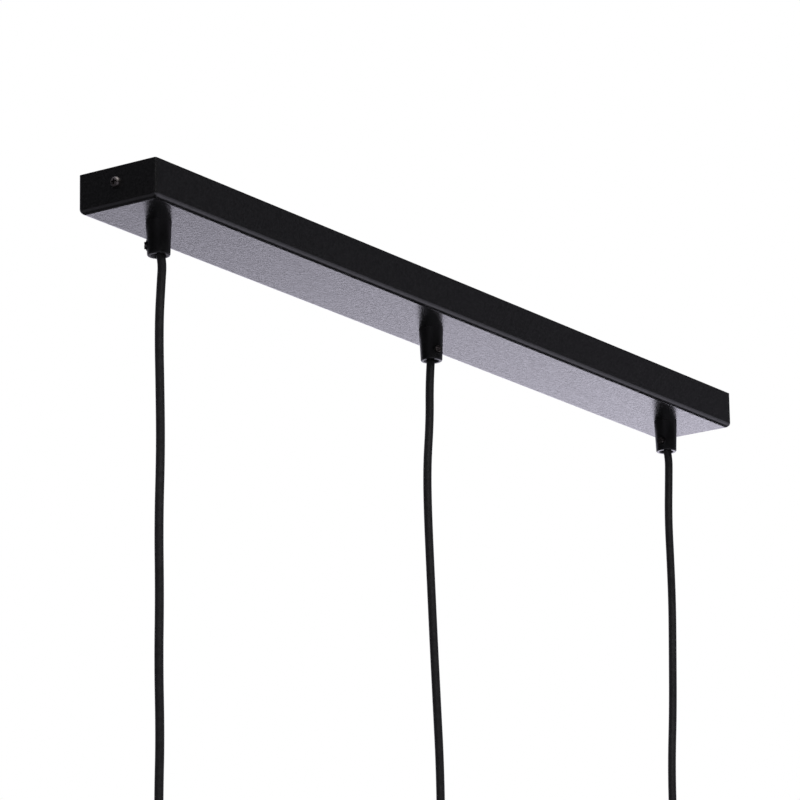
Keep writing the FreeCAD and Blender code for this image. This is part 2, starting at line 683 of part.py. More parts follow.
def ring_terminal(name, x, z, toward):
    """Flat brass eye with a crimp barrel that points along X toward one side."""
    eye = cylinder(f"{name}_eye", "ring_radius", "ring_wall", x, 0, z)
    tail = box(f"{name}_tail", "ring_tail", "ring_radius", "ring_wall",
               f"({x}) + {toward} * ring_tail / 2", 0, z)
    hole = cylinder(f"{name}_hole", "earth_radius + thread_gap * 2", "ring_wall * 3",
                    x, 0, f"({z}) - ring_wall")
    return cut(name, fuse(f"{name}_blank", eye, tail), hole)


def make_earthing():
    """Green-yellow leads from the earth pole to the bracket and to the canopy."""
    eye_z = "(-bracket_wall - ring_wall)"
    upper_eye = ring_terminal("bracket_ring", "earth_screw_place", eye_z, 1)
    lower_eye = ring_terminal("canopy_ring", "earth_stud_place", CANOPY_FLOOR, -1)
    keep(group("rings", upper_eye, lower_eye), "earth_ring_terminals")

    head_z = f"{eye_z} - earth_head_height"
    head = cylinder("earth_head", "earth_head_radius", "earth_head_height",
                    "earth_screw_place", 0, head_z)
    shank = cylinder("earth_shank", "earth_radius", "bracket_wall + ring_wall",
                     "earth_screw_place", 0, eye_z)
    slot = box("earth_slot", "earth_head_radius * 3", "slot_cut", "slot_sink",
               "earth_screw_place", 0, head_z)
    keep(cut("earth_screw_cut", fuse("earth_screw_blank", head, shank), slot), "earth_screw")

    stud = cylinder("stud_bar", "earth_radius", "stud_length",
                    "earth_stud_place", 0, CANOPY_FLOOR)
    keep(stud, "earth_stud")
    nut = doc.addObject("Part::Prism", "stud_hexagon")
    nut.Polygon = 6
    bind(nut, Circumradius="stud_nut_width / sqrt(3)", Height="stud_nut_height")
    nut_z = f"{CANOPY_FLOOR} + ring_wall"
    place(nut, "earth_stud_place", 0, nut_z)
    thread = cylinder("stud_thread", "earth_radius + thread_gap", "stud_nut_height",
                      "earth_stud_place", 0, nut_z)
    keep(cut("stud_nut_cut", nut, thread), "earth_stud_nut")

    radius = size("core_radius")
    entry = size(ENTRY_Z)
    pair = size("core_pitch / 2 + seat_gap")
    inside = size("entry_reach")
    crimp = size("ring_tail / 2")
    lift = size("fit_gap / 3")
    near_face = size("block_place - block_length / 2")
    far_face = size("block_place + block_length / 2")

    tail_end = size("earth_screw_place + ring_tail")
    tail_z = size(eye_z) - radius - lift
    run = near_face - tail_end
    rise = tail_z - entry
    upper = tube_shape([
        (tail_end - crimp, 0, tail_z), (tail_end + run * 0.05, pair * 0.1, tail_z),
        (tail_end + run * 0.3, pair * 0.6, entry + rise * 0.56),
        (near_face - run * 0.2, pair, entry), (near_face + inside, pair, entry),
    ], radius, "bracket earth lead")
    keep(feature("bracket_lead", upper), "earth_lead_bracket")

    tail_end = size("earth_stud_place - ring_tail")
    tail_z = size(CANOPY_FLOOR) + size("ring_wall") + radius + lift
    run = tail_end - far_face
    fall = entry - tail_z
    lower = tube_shape([
        (far_face - inside, -pair, entry), (far_face + run * 0.23, -pair, entry),
        (far_face + run / 2, -pair * 0.7, entry - fall * 0.23),
        (tail_end - run * 0.18, 0, tail_z + fall * 0.1), (tail_end + crimp * 0.7, 0, tail_z),
    ], radius, "canopy earth lead")
    keep(feature("canopy_lead", lower), "earth_lead_canopy")


# ---------------------------------------------------------------- cords

def make_hanging_cord(drop):
    """Round black cord from the grip's mouth down into its lampholder."""
    points = route_of(drop)
    radius = size("cord_radius")
    tube = tube_shape(points, radius, f"cord {drop}")
    ball = Part.makeSphere(radius, points[0])
    keep(feature(f"cord_shape_{drop}", tube.fuse(ball).removeSplitter()), f"cord_{drop}")


def make_inner_cord(drop):
    """Stretch of the same cord that the set screw clamps inside the grip."""
    bottom = f"({PIVOT_Z} + cord_radius + fit_gap)"
    bar = bind(doc.addObject("Part::Cylinder", f"clamped_{drop}"), Radius="cord_radius",
               Height=f"{NECK_TOP} + sheath_rise - {bottom}")
    bearing = math.radians(SCREW_BEARING[drop])
    place(bar, f"{GRIP_X[drop]} - {math.cos(bearing):.6f} * {CORD_SHIFT}",
          f"-{math.sin(bearing):.6f} * {CORD_SHIFT}", bottom)
    keep(bar, f"clamped_cord_{drop}")


def core_points(drop, side):
    """Route of one core from its sheath to the terminal block; side is -1 or 1 across Y."""
    foot = cord_axis(drop)
    start = size(f"{NECK_TOP} + sheath_rise")
    entry = size(ENTRY_Z)
    toward = -1 if drop == "right" else 1
    face = size("block_place") - toward * size("block_length / 2")
    inside = face + toward * size("entry_reach")
    spread = size("core_spread")
    wave = side * size("core_wave")
    level = start + size("core_level")
    lane = side * size("canopy_width / 2 - canopy_wall - lane_inset")
    x = foot.x
    y = foot.y + side * size("core_pitch / 2")
    pair = size("core_pitch / 2 + seat_gap")
    inner = drop == "middle"
    end_y = side * (size("pole_pitch") + (-pair if inner else pair))
    run = face - x
    bend = [
        (x, y, start),
        (x, y, start + size("core_stand")),
        (x + toward * size("core_step"), y + wave, start + size("core_rise")),
        (x + toward * size("core_lead"), side * size("core_pitch"), start + size("core_rise * 0.9")),
    ]
    if inner:
        return bend + [
            (x + run * 0.4, side * size("core_pitch * 3"), entry + size("core_radius * 2")),
            (x + run * 0.7, end_y + wave, entry + size("core_radius / 2")),
            (x + run * 0.87, end_y, entry), (inside, end_y, entry),
        ]
    count = 5 if drop == "left" else 3
    middle = [(x + toward * spread, lane * 0.55, level + size("core_rise / 4"))]
    span = run - toward * (spread + size("core_spread / 2"))
    for index in range(count + 1):
        sway = wave if index % 2 else -wave / 2
        middle.append((x + toward * spread + span * (index + 0.8) / (count + 1),
                       lane + sway, level + (sway * side) / 2))
    return bend + middle + [
        (face - toward * size("core_lead"), end_y, entry), (inside, end_y, entry),
    ]


def make_cores():
    """Brown and blue cores of the three cords, from their sheaths to the terminal block."""
    radius = size("core_radius")
    for colour, side in (("brown", -1), ("blue", 1)):
        tubes = []
        for drop in DROPS:
            shape = tube_shape(core_points(drop, side), radius, f"{colour} core {drop}")
            tubes.append(feature(f"{colour}_core_{drop}", shape))
        keep(group(f"{colour}_cores_group", *tubes), f"{colour}_cores")


# ---------------------------------------------------------------- lampholders

def make_lampholder(drop):
    """E27 lampholder on the end of a cord, with its contacts, terminals and shade ring."""
    end = route_of(drop)[-1]
    sheath_in = size("cap_neck_height + sheath_entry")
    rim = end.z + sheath_in - size(HOLDER_HEIGHT)
    x = f"{end.x:.6f}"
    y = f"{end.y:.6f}"

    def at(thing, height="0"):
        return place(thing, x, y, f"{rim:.6f} + {height}")

    shell = turned(f"shell_turned_{drop}", [
        ("socket_radius", "holder_edge"), ("socket_radius + holder_edge", "0"),
        ("holder_radius - holder_edge", "0"), ("holder_radius", "holder_edge"),
        ("holder_radius", "shell_height - shoulder_height"),
        ("shoulder_radius", "shell_height - shoulder_height"),
        ("shoulder_radius", "shell_height"),
        ("pocket_radius + seat_gap", "shell_height"),
        ("pocket_radius + seat_gap", "shell_height - pocket_depth"),
        ("chamber_radius", "shell_height - pocket_depth"),
        ("chamber_radius", THREAD_TOP), ("socket_radius", THREAD_TOP),
    ])
    keep(at(shell), f"holder_shell_{drop}")

    cap_top = "cap_height"
    neck_foot = "(cap_height - cap_neck_height)"
    crown = "(cap_height - cap_neck_height - cap_wall)"
    cap = turned(f"cap_turned_{drop}", [
        ("shoulder_radius - cap_wall", "0"), ("shoulder_radius", "0"),
        ("shoulder_radius", "cap_straight"),
        ("shoulder_radius - cap_round * 0.3", "cap_straight + cap_round * 0.6"),
        ("shoulder_radius - cap_round", crown),
        ("cap_neck_radius + seat_gap", neck_foot),
        ("cap_neck_radius", f"{cap_top} - holder_edge"),
        ("cap_neck_radius - holder_edge", cap_top),
        ("cap_bore_radius", cap_top),
        ("cap_bore_radius", neck_foot),
        ("cap_neck_radius", crown),
        ("shoulder_radius - cap_round - cap_wall", f"{crown} - cap_wall"),
        ("shoulder_radius - cap_wall", "cap_straight"),
    ])
    at(cap, "shell_height")
    screw_z = "shell_height + cap_height - cap_neck_height / 2"
    hole = cylinder(f"cap_hole_{drop}", "set_screw_radius + thread_gap",
                    "cap_neck_radius + fit_gap", turn=(ALONG_X, QUARTER))
    at(hole, screw_z)
    keep(cut(f"cap_cut_{drop}", cap, hole), f"holder_cap_{drop}")
    start = "cord_radius + cord_clearance"
    bar = cylinder(f"cord_screw_bar_{drop}", "set_screw_radius",
                   f"cap_neck_radius + seat_gap * 2 - {start}", turn=(ALONG_X, QUARTER))
    place(bar, x, f"{y} - ({start})", f"{rim:.6f} + {screw_z}")
    head = cylinder(f"cord_screw_head_{drop}", "set_head_radius", "set_head_height",
                    turn=(ALONG_X, QUARTER))
    place(head, x, f"{y} - cap_neck_radius - seat_gap * 2", f"{rim:.6f} + {screw_z}")
    slot = box(f"cord_screw_slot_{drop}", "set_head_radius * 3", "set_head_height", "slot_cut",
               x, f"{y} - cap_neck_radius - seat_gap * 2 - set_head_height",
               f"{rim:.6f} + {screw_z} - slot_cut / 2")
    screw = cut(f"cord_screw_cut_{drop}", fuse(f"cord_screw_blank_{drop}", bar, head), slot)
    keep(screw, f"holder_cord_screw_{drop}")

    flange = "(pocket_depth - seat_gap * 4)"
    seat = "(shell_height - pocket_depth + seat_gap)"
    insert = turned(f"insert_turned_{drop}", [
        ("0", "0"), ("pocket_radius", "0"), ("pocket_radius", flange),
        ("insert_core_radius", flange), ("insert_core_radius", f"{flange} + insert_core_height"),
        ("0", f"{flange} + insert_core_height"),
    ])
    at(insert, seat)
    pocket_floor = f"{rim:.6f} + {seat} + {flange} + terminal_pocket_rise"
    tools = []
    for side in (-1, 1):
        pocket = box(f"terminal_pocket_{drop}_{side + 1}", "terminal_pocket_width",
                     "terminal_pocket_length", "insert_core_height",
                     f"{x} + {side} * terminal_place", y, pocket_floor)
        tap = cylinder(f"terminal_tap_{drop}_{side + 1}", "clamp_screw_radius + thread_gap",
                       "terminal_pin_length + fit_gap", f"{x} + {side} * terminal_place", y,
                       f"{pocket_floor} - terminal_pin_length - fit_gap")
        tools += [pocket, tap]
    keep(cut(f"insert_cut_{drop}", insert, *tools), f"holder_insert_{drop}")

    screws = []
    for side in (-1, 1):
        tag = f"{drop}_{side + 1}"
        where = f"{x} + {side} * terminal_place"
        top = cylinder(f"terminal_head_{tag}", "clamp_screw_radius * 1.7", "small_head_height",
                       where, y, pocket_floor)
        pin = cylinder(f"terminal_pin_{tag}", "clamp_screw_radius", "terminal_pin_length",
                       where, y, f"{pocket_floor} - terminal_pin_length")
        nick = box(f"terminal_nick_{tag}", "clamp_screw_radius * 4", "slot_cut", "slot_sink",
                   where, y, f"{pocket_floor} + small_head_height - slot_sink")
        screws.append(cut(f"terminal_screw_{tag}", fuse(f"terminal_blank_{tag}", top, pin), nick))
    keep(group(f"terminal_pair_{drop}", *screws), f"holder_screws_{drop}")

    # The centre contact is a strip bent down from the insert, then up again at its free end
    under = "-contact_wall"
    low = "-tongue_drop"
    centre = padded(f"centre_strip_{drop}", "XZ_Plane", [
        ("-tongue_reach * 0.8", "0"), ("tongue_reach", "0"), ("tongue_reach", under),
        ("tongue_reach * 0.45", under), ("tongue_reach * 0.1", low),
        ("-tongue_reach * 0.45", low), ("-tongue_reach * 0.65", f"{low} + contact_wall * 3"),
        ("-tongue_reach * 0.6", f"{low} + contact_wall * 4"),
        ("-tongue_reach * 0.4", f"{low} + contact_wall"),
        ("tongue_reach * 0.05", f"{low} + contact_wall"), ("tongue_reach * 0.35", under),
        ("-tongue_reach * 0.8", under),
    ], "contact_width")
    at(centre, seat)
    keep(centre, f"centre_contact_{drop}")
    side_strip = padded(f"side_strip_{drop}", "XZ_Plane", [
        ("0", "contact_drop"), ("contact_foot", "contact_drop"),
        ("contact_foot", "contact_drop - contact_wall"),
        ("contact_wall", "contact_drop - contact_wall"), ("contact_wall", "contact_wall * 3"),
        ("contact_wall * 3", "contact_wall * 2"), ("contact_wall * 2", "0"),
        ("0", "contact_wall * 2"),
    ], "contact_width")
    place(side_strip, f"{x} - chamber_radius + seat_gap * 4", y,
          f"{rim:.6f} + {seat} - contact_drop")
    keep(side_strip, f"side_contact_{drop}")

    ring = turned(f"ring_turned_{drop}", [
        ("holder_radius + cord_clearance", "0"), ("holder_radius + collar_wall", "0"),
        ("holder_radius + collar_wall", "collar_height - collar_flange"),
        ("collar_radius", "collar_height - collar_flange"),
        ("collar_radius", "collar_height"), ("holder_radius + cord_clearance", "collar_height"),
    ])
    at(ring, "shell_height - shoulder_height - collar_gap - collar_height")
    keep(ring, f"shade_ring_{drop}")

    radius = size("core_radius")
    pitch = size("core_pitch") / 2
    level = rim + size(f"{seat} + {flange}")
    out = size("terminal_place")
    fall = end.z - level
    for side, colour in ((-1, "brown"), (1, "blue")):
        foot = FreeCAD.Vector(end.x + side * pitch, end.y, end.z)
        points = [foot, foot - UPRIGHT * radius * 2]
        for across, back, left_to_fall in HOLDER_CORE:
            points.append((end.x + side * out * across, end.y + out * back,
                           level + fall * left_to_fall))
        tube = tube_shape(points, radius, f"holder {colour} core {drop}")
        keep(feature(f"holder_{colour}_{drop}", tube), f"holder_{colour}_core_{drop}")


# ---------------------------------------------------------------- build and write

def check_document():
    """Stop if any object failed or any finished piece isn't a valid closed shape."""
    for thing in doc.Objects:
        if "Invalid" in thing.State or "Error" in thing.State:
            raise RuntimeError(f"{thing.Name} failed: {thing.State}")
    for thing in nodes:
        shape = thing.Shape
        if shape.isNull() or not shape.isValid() or not shape.Solids:
            raise RuntimeError(f"{thing.Label} has no valid solid")


make_canopy()
make_bracket()
make_canopy_screws()
for drop in DROPS:
    make_grip(drop)
make_neck_fixings()
make_terminal_block()
make_earthing()
for drop in DROPS:
    make_inner_cord(drop)
make_cores()
for drop in DROPS:
    make_hanging_cord(drop)
    make_lampholder(drop)
doc.recompute()
check_document()

os.makedirs("parts", exist_ok=True)
for thing in nodes:
    thing.Shape.exportStep(os.path.join("parts", f"{thing.Label}.step"))
print(len(nodes), "pieces written")
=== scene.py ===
import math

import bmesh
import bpy
from mathutils import Matrix, Vector


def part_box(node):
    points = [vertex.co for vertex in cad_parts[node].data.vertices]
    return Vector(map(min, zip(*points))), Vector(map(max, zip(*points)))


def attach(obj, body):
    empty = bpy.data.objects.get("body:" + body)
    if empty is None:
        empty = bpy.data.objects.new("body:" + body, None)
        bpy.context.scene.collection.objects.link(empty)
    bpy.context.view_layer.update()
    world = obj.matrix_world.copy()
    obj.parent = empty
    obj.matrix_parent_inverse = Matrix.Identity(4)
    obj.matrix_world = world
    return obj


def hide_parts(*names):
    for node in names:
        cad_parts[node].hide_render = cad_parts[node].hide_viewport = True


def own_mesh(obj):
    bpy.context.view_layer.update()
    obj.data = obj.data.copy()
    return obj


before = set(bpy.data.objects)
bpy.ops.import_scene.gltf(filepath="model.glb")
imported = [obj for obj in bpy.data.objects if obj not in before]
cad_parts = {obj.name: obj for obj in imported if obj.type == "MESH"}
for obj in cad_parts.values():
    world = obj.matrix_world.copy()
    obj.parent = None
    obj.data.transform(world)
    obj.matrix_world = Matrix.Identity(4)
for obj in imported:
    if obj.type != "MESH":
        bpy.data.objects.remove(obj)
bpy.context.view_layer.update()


# ------------------------------------------------------------------ the viewpoint
# A long lens looks up at the canopy from its front left, a metre below the ceiling. The
# camera was fitted to the canopy's outlines and the upright cords; no shift, no depth of field.

SENSOR_WIDTH = 36
LENS = 211.84
VIEWPOINT = (-2.5787, -1.7569, -0.9502)
VIEW_ANGLES = (105.646, 0.901, -55.073)
VIEW_REACH = 60


def add_to_scene(name, data):
    """A new object in the scene, made of the given data."""
    item = bpy.data.objects.new(name, data)
    bpy.context.scene.collection.objects.link(item)
    return item


view_data = bpy.data.cameras.new("photograph_view")
view_data.sensor_width = SENSOR_WIDTH
view_data.lens = LENS
view_data.clip_end = VIEW_REACH
view = add_to_scene("photograph_view", view_data)
view.location = VIEWPOINT
view.rotation_euler = [math.radians(angle) for angle in VIEW_ANGLES]
bpy.context.scene.camera = view


# ------------------------------------------------------------------ the ceiling bracket
# A punched steel strip with two ears bent down at its ends, bright zinc plated. Its edges are
# broken, and the plate shows fine rolling lines along the strip.

# Where in a noise's spread a finish is fully dark or pale, and fully glossy or dull
TONE_SPAN = (0.35, 0.65)
GLOSS_SPAN = (0.3, 0.7)
PATCH_DETAIL = 4
GRIT_DETAIL = 2
# CAD corners nearer than this, in metres, become one, and so do faces that bend less
ONE_CORNER = 0.000001
ONE_FACE_DEGREES = 0.2
SHARP_DEGREES = 32
EDGE_STEPS = 2
BRACKET_EDGE = 0.0002


def add_node(tree, kind, **values):
    """A new node, with the values of the inputs that are named."""
    node = tree.nodes.new(kind)
    for socket, value in values.items():
        node.inputs[socket].default_value = value
    return node


def ranged(tree, source, span, levels=(0, 1), kind="LINEAR"):
    """A value that goes from one level to another as its source crosses a span."""
    step = tree.nodes.new("ShaderNodeMapRange")
    step.interpolation_type = kind
    for end, value in zip(("From Min", "From Max", "To Min", "To Max"), (*span, *levels)):
        step.inputs[end].default_value = value
    tree.links.new(source, step.inputs["Value"])
    return step.outputs["Result"]


def paint(name, dark, pale, grain, rough, bump, metallic=0.0, stretch=(1, 1, 1)):
    """A finish that wanders from dark to pale, and between two roughnesses, over patches of
    the grain's size in metres, under a bump of (size, depth) in metres."""
    material = bpy.data.materials.new(name)
    material.use_nodes = True
    tree = material.node_tree
    shader = tree.nodes["Principled BSDF"]
    shader.inputs["Metallic"].default_value = metallic
    place = tree.nodes.new("ShaderNodeTexCoord")
    mapping = add_node(tree, "ShaderNodeMapping", Scale=stretch)
    tree.links.new(place.outputs["Object"], mapping.inputs["Vector"])
    patches = add_node(tree, "ShaderNodeTexNoise", Scale=1 / grain, Detail=PATCH_DETAIL)
    grit = add_node(tree, "ShaderNodeTexNoise", Scale=1 / bump[0], Detail=GRIT_DETAIL)
    grit.name = "grit"
    for noise in (patches, grit):
        tree.links.new(mapping.outputs["Vector"], noise.inputs["Vector"])
    tone = tree.nodes.new("ShaderNodeValToRGB")
    for stop, position, colour in zip(tone.color_ramp.elements, TONE_SPAN, (dark, pale)):
        stop.position = position
        stop.color = (*colour, 1)
    tree.links.new(patches.outputs["Fac"], tone.inputs["Fac"])
    tree.links.new(tone.outputs["Color"], shader.inputs["Base Color"])
    tree.links.new(ranged(tree, patches.outputs["Fac"], GLOSS_SPAN, rough),
                   shader.inputs["Roughness"])
    relief = add_node(tree, "ShaderNodeBump", Distance=bump[1])
    tree.links.new(grit.outputs["Fac"], relief.inputs["Height"])
    tree.links.new(relief.outputs["Normal"], shader.inputs["Normal"])
    return material


def settle(piece):
    """Turn a piece's modifiers into its plain mesh."""
    graph = bpy.context.evaluated_depsgraph_get()
    mesh = bpy.data.meshes.new_from_object(piece.evaluated_get(graph))
    piece.modifiers.clear()
    piece.data = mesh


def soften(mesh, sharp):
    """Shade a mesh smooth, but for the edges that bend more than so many degrees."""
    mesh.shade_smooth()
    mesh.set_sharp_from_angle(angle=math.radians(sharp))


def smooth_copy(node, name, edge):
    """A copy of a CAD node with merged corners, smooth bends and, past 0, a broken edge."""
    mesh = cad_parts[node].data.copy()
    mesh.name = name
    work = bmesh.new()
    work.from_mesh(mesh)
    bmesh.ops.remove_doubles(work, verts=work.verts, dist=ONE_CORNER)
    bmesh.ops.dissolve_limit(work, angle_limit=math.radians(ONE_FACE_DEGREES),
                             verts=work.verts, edges=work.edges)
    work.to_mesh(mesh)
    work.free()
    soften(mesh, SHARP_DEGREES)
    piece = add_to_scene(name, mesh)
    if edge:
        bevel = piece.modifiers.new("broken_edge", "BEVEL")
        bevel.width = edge
        bevel.segments = EDGE_STEPS
        bevel.limit_method = "ANGLE"
        bevel.angle_limit = math.radians(SHARP_DEGREES)
    weights = piece.modifiers.new("face_normals", "WEIGHTED_NORMAL")
    weights.keep_sharp = True
    settle(piece)
    return piece


def finish_piece(piece, node, body, material):
    """Put a piece in a node's place on its body, in the given finish."""
    piece.data.materials.clear()
    piece.data.materials.append(material)
    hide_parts(node)
    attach(piece, body)


def renew(nodes, body, material, edge=0.0):
    """Smooth copies in the place of CAD nodes, all of one body and one finish."""
    for node in nodes:
        finish_piece(smooth_copy(node, f"{node}_piece", edge), node, body, material)


zinc = paint("zinc_plated_steel", dark=(0.48, 0.49, 0.50), pale=(0.60, 0.61, 0.63),
             grain=0.0015, rough=(0.40, 0.48), bump=(0.0004, 0.00001), metallic=0.75,
             stretch=(0.2, 1, 1))
renew(["ceiling_bracket"], "fixture", zinc, BRACKET_EDGE)


# ------------------------------------------------------------------ the terminal block
# A moulded three-pole block of natural nylon with brass barrels and zinc-plated screws. It is
# screwed to the underside of the bracket.

BLOCK_EDGE = 0.0004
SMALL_METAL_EDGE = 0.0001
NYLON_MILKINESS = 0.1
nylon = paint("natural_nylon", dark=(0.66, 0.65, 0.60), pale=(0.76, 0.75, 0.70), grain=0.006,
              rough=(0.35, 0.5), bump=(0.0005, 0.00002))
nylon_shader = nylon.node_tree.nodes["Principled BSDF"]
nylon_shader.inputs["Subsurface Weight"].default_value = NYLON_MILKINESS
brass = paint("brass", dark=(0.50, 0.34, 0.12), pale=(0.68, 0.50, 0.22), grain=0.003,
              rough=(0.22, 0.38), bump=(0.0003, 0.00001), metallic=1.0)
renew(["terminal_block"], "fixture", nylon, BLOCK_EDGE)
renew(["terminal_inserts"], "fixture", brass, SMALL_METAL_EDGE)
renew(["terminal_screws", "block_fixing_screw"], "fixture", zinc, SMALL_METAL_EDGE)


# ------------------------------------------------------------------ the earthing
# A green-yellow lead runs from the block's earth pole to a screw in the bracket, and another
# to a stud welded to the canopy. Each ends in a crimped brass ring under a screw or a nut.

ROUND_STEPS = 128
CORNER_STEPS = 3
# The most of a profile's straight side that the arc of a corner takes
CORNER_SHARE = 0.45
TURNED_SHARP_DEGREES = 40
THREAD_STEPS = 72
THREAD_SIDES = 8


def rounded(corners, radius):
    """The corners of a closed profile, each swapped for a small arc."""
    found = []
    for index, corner in enumerate(corners):
        here = Vector(corner)
        back = Vector(corners[index - 1]) - here
        ahead = Vector(corners[(index + 1) % len(corners)]) - here
        reach = min(radius, back.length * CORNER_SHARE, ahead.length * CORNER_SHARE)
        first = here + back.normalized() * reach
        last = here + ahead.normalized() * reach
        for step in range(CORNER_STEPS + 1):
            share = step / CORNER_STEPS
            found.append(first * (1 - share) ** 2 + here * 2 * share * (1 - share)
                         + last * share ** 2)
    return found


def plain_mesh(name, work):
    """The mesh that was worked out, with its faces turned outwards."""
    bmesh.ops.recalc_face_normals(work, faces=work.faces)
    mesh = bpy.data.meshes.new(name)
    work.to_mesh(mesh)
    work.free()
    return mesh


def turned(name, corners, radius, x, y, z):
    """A ring turned about an upright axis from the (radius, height) corners of its section."""
    profile = rounded(corners, radius)
    work = bmesh.new()
    rings = []
    for step in range(ROUND_STEPS):
        turn = 2 * math.pi * step / ROUND_STEPS
        rings.append([
            work.verts.new((x + point.x * math.cos(turn), y + point.x * math.sin(turn),
                            z + point.y))
            for point in profile
        ])
    for here, after in zip(rings, rings[1:] + rings[:1]):
        for index in range(len(profile)):
            nxt = (index + 1) % len(profile)
            work.faces.new((here[index], here[nxt], after[nxt], after[index]))
    mesh = plain_mesh(name, work)
    soften(mesh, TURNED_SHARP_DEGREES)
    return add_to_scene(name, mesh)


def new_tree(name, **sockets):
    """An empty geometry tree that adds to a piece, with named inputs and a finish."""
    tree = bpy.data.node_groups.new(name, "GeometryNodeTree")
    tree.interface.new_socket("piece", in_out="INPUT", socket_type="NodeSocketGeometry")
    for socket, kind in sockets.items():
        tree.interface.new_socket(socket, in_out="INPUT", socket_type=f"NodeSocket{kind}")
    tree.interface.new_socket("finish", in_out="INPUT", socket_type="NodeSocketMaterial")
    tree.interface.new_socket("piece", in_out="OUTPUT", socket_type="NodeSocketGeometry")
    return tree, tree.nodes.new("NodeGroupInput")


def close_tree(tree, given, added):
    """Join what the tree made, at its place, to the piece, as one plain mesh in one finish."""
    placed = tree.nodes.new("GeometryNodeTransform")
    tree.links.new(added, placed.inputs["Geometry"])
    tree.links.new(given.outputs["place"], placed.inputs["Translation"])
    together = tree.nodes.new("GeometryNodeJoinGeometry")
    tree.links.new(given.outputs["piece"], together.inputs["Geometry"])
    tree.links.new(placed.outputs["Geometry"], together.inputs["Geometry"])
    plain = tree.nodes.new("GeometryNodeRealizeInstances")
    tree.links.new(together.outputs["Geometry"], plain.inputs["Geometry"])
    coat = tree.nodes.new("GeometryNodeSetMaterial")
    tree.links.new(plain.outputs["Geometry"], coat.inputs["Geometry"])
    tree.links.new(given.outputs["finish"], coat.inputs["Material"])
    result = tree.nodes.new("NodeGroupOutput")
    tree.links.new(coat.outputs["Geometry"], result.inputs["piece"])
    return tree


def make_thread_tree():
    """A round ridge that winds up a piece."""
    tree, given = new_tree("wound_thread", place="Vector", radius="Float", turns="Float",
                           rise="Float", ridge="Float")
    spiral = add_node(tree, "GeometryNodeCurveSpiral", Resolution=THREAD_STEPS)
    for size, socket in (("radius", "Start Radius"), ("radius", "End Radius"),
                         ("turns", "Rotations"), ("rise", "Height")):
        tree.links.new(given.outputs[size], spiral.inputs[socket])
    section = add_node(tree, "GeometryNodeCurvePrimitiveCircle", Resolution=THREAD_SIDES)
    tree.links.new(given.outputs["ridge"], section.inputs["Radius"])
    ridge = tree.nodes.new("GeometryNodeCurveToMesh")
    ridge.inputs["Fill Caps"].default_value = True
    tree.links.new(spiral.outputs["Curve"], ridge.inputs["Curve"])
    tree.links.new(section.outputs["Curve"], ridge.inputs["Profile Curve"])
    return close_tree(tree, given, ridge.outputs["Mesh"])


def make_rib_tree():
    """Upright ribs in a ring round a piece."""
    tree, given = new_tree("ribs_in_a_ring", place="Vector", radius="Float", count="Int",
                           rib="Vector")
    ring = tree.nodes.new("GeometryNodeMeshCircle")
    tree.links.new(given.outputs["count"], ring.inputs["Vertices"])
    tree.links.new(given.outputs["radius"], ring.inputs["Radius"])
    bar = tree.nodes.new("GeometryNodeMeshCube")
    tree.links.new(given.outputs["rib"], bar.inputs["Size"])
    where = tree.nodes.new("GeometryNodeInputPosition")
    facing = tree.nodes.new("FunctionNodeAlignEulerToVector")
    facing.axis = "X"
    facing.pivot_axis = "Z"
    tree.links.new(where.outputs["Position"], facing.inputs["Vector"])
    ribs = tree.nodes.new("GeometryNodeInstanceOnPoints")
    tree.links.new(ring.outputs["Mesh"], ribs.inputs["Points"])
    tree.links.new(bar.outputs["Mesh"], ribs.inputs["Instance"])
    tree.links.new(facing.outputs["Rotation"], ribs.inputs["Rotation"])
    return close_tree(tree, given, ribs.outputs["Instances"])


def grow(piece, tree, **values):
    """Run a tree on a piece with its named inputs, and keep the result as its mesh."""
    modifier = piece.modifiers.new(tree.name, "NODES")
    modifier.node_group = tree
    for item in tree.interface.items_tree:
        if item.in_out == "INPUT" and item.name in values:
            modifier[item.identifier] = values[item.name]
    settle(piece)


thread_tree = make_thread_tree()
rib_tree = make_rib_tree()
HEXAGON_EDGE = 0.0003
renew(["earth_ring_terminals"], "fixture", brass, SMALL_METAL_EDGE)
renew(["earth_screw", "earth_stud_nut"], "fixture", zinc, HEXAGON_EDGE)

STUD_RADIUS = 0.0019
STUD_TIP_RADIUS = 0.0015
STUD_CHAMFER = 0.0004
STUD_ROUNDING = 0.00005
STUD_THREAD = {"radius": 0.0018, "turns": 5.0, "rise": 0.0035, "ridge": 0.0002}
STUD_THREAD_DEPTH = 0.0040
lowest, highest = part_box("earth_stud")
stud_x = (lowest.x + highest.x) / 2
stud_height = highest.z - lowest.z
stud = turned("earth_stud_piece", [
    (0.0, 0), (STUD_RADIUS, 0), (STUD_RADIUS, stud_height - STUD_CHAMFER),
    (STUD_TIP_RADIUS, stud_height), (0.0, stud_height),
], STUD_ROUNDING, stud_x, 0, lowest.z)
grow(stud, thread_tree, place=(stud_x, 0, highest.z - STUD_THREAD_DEPTH), finish=zinc,
     **STUD_THREAD)
finish_piece(stud, "earth_stud", "fixture", zinc)

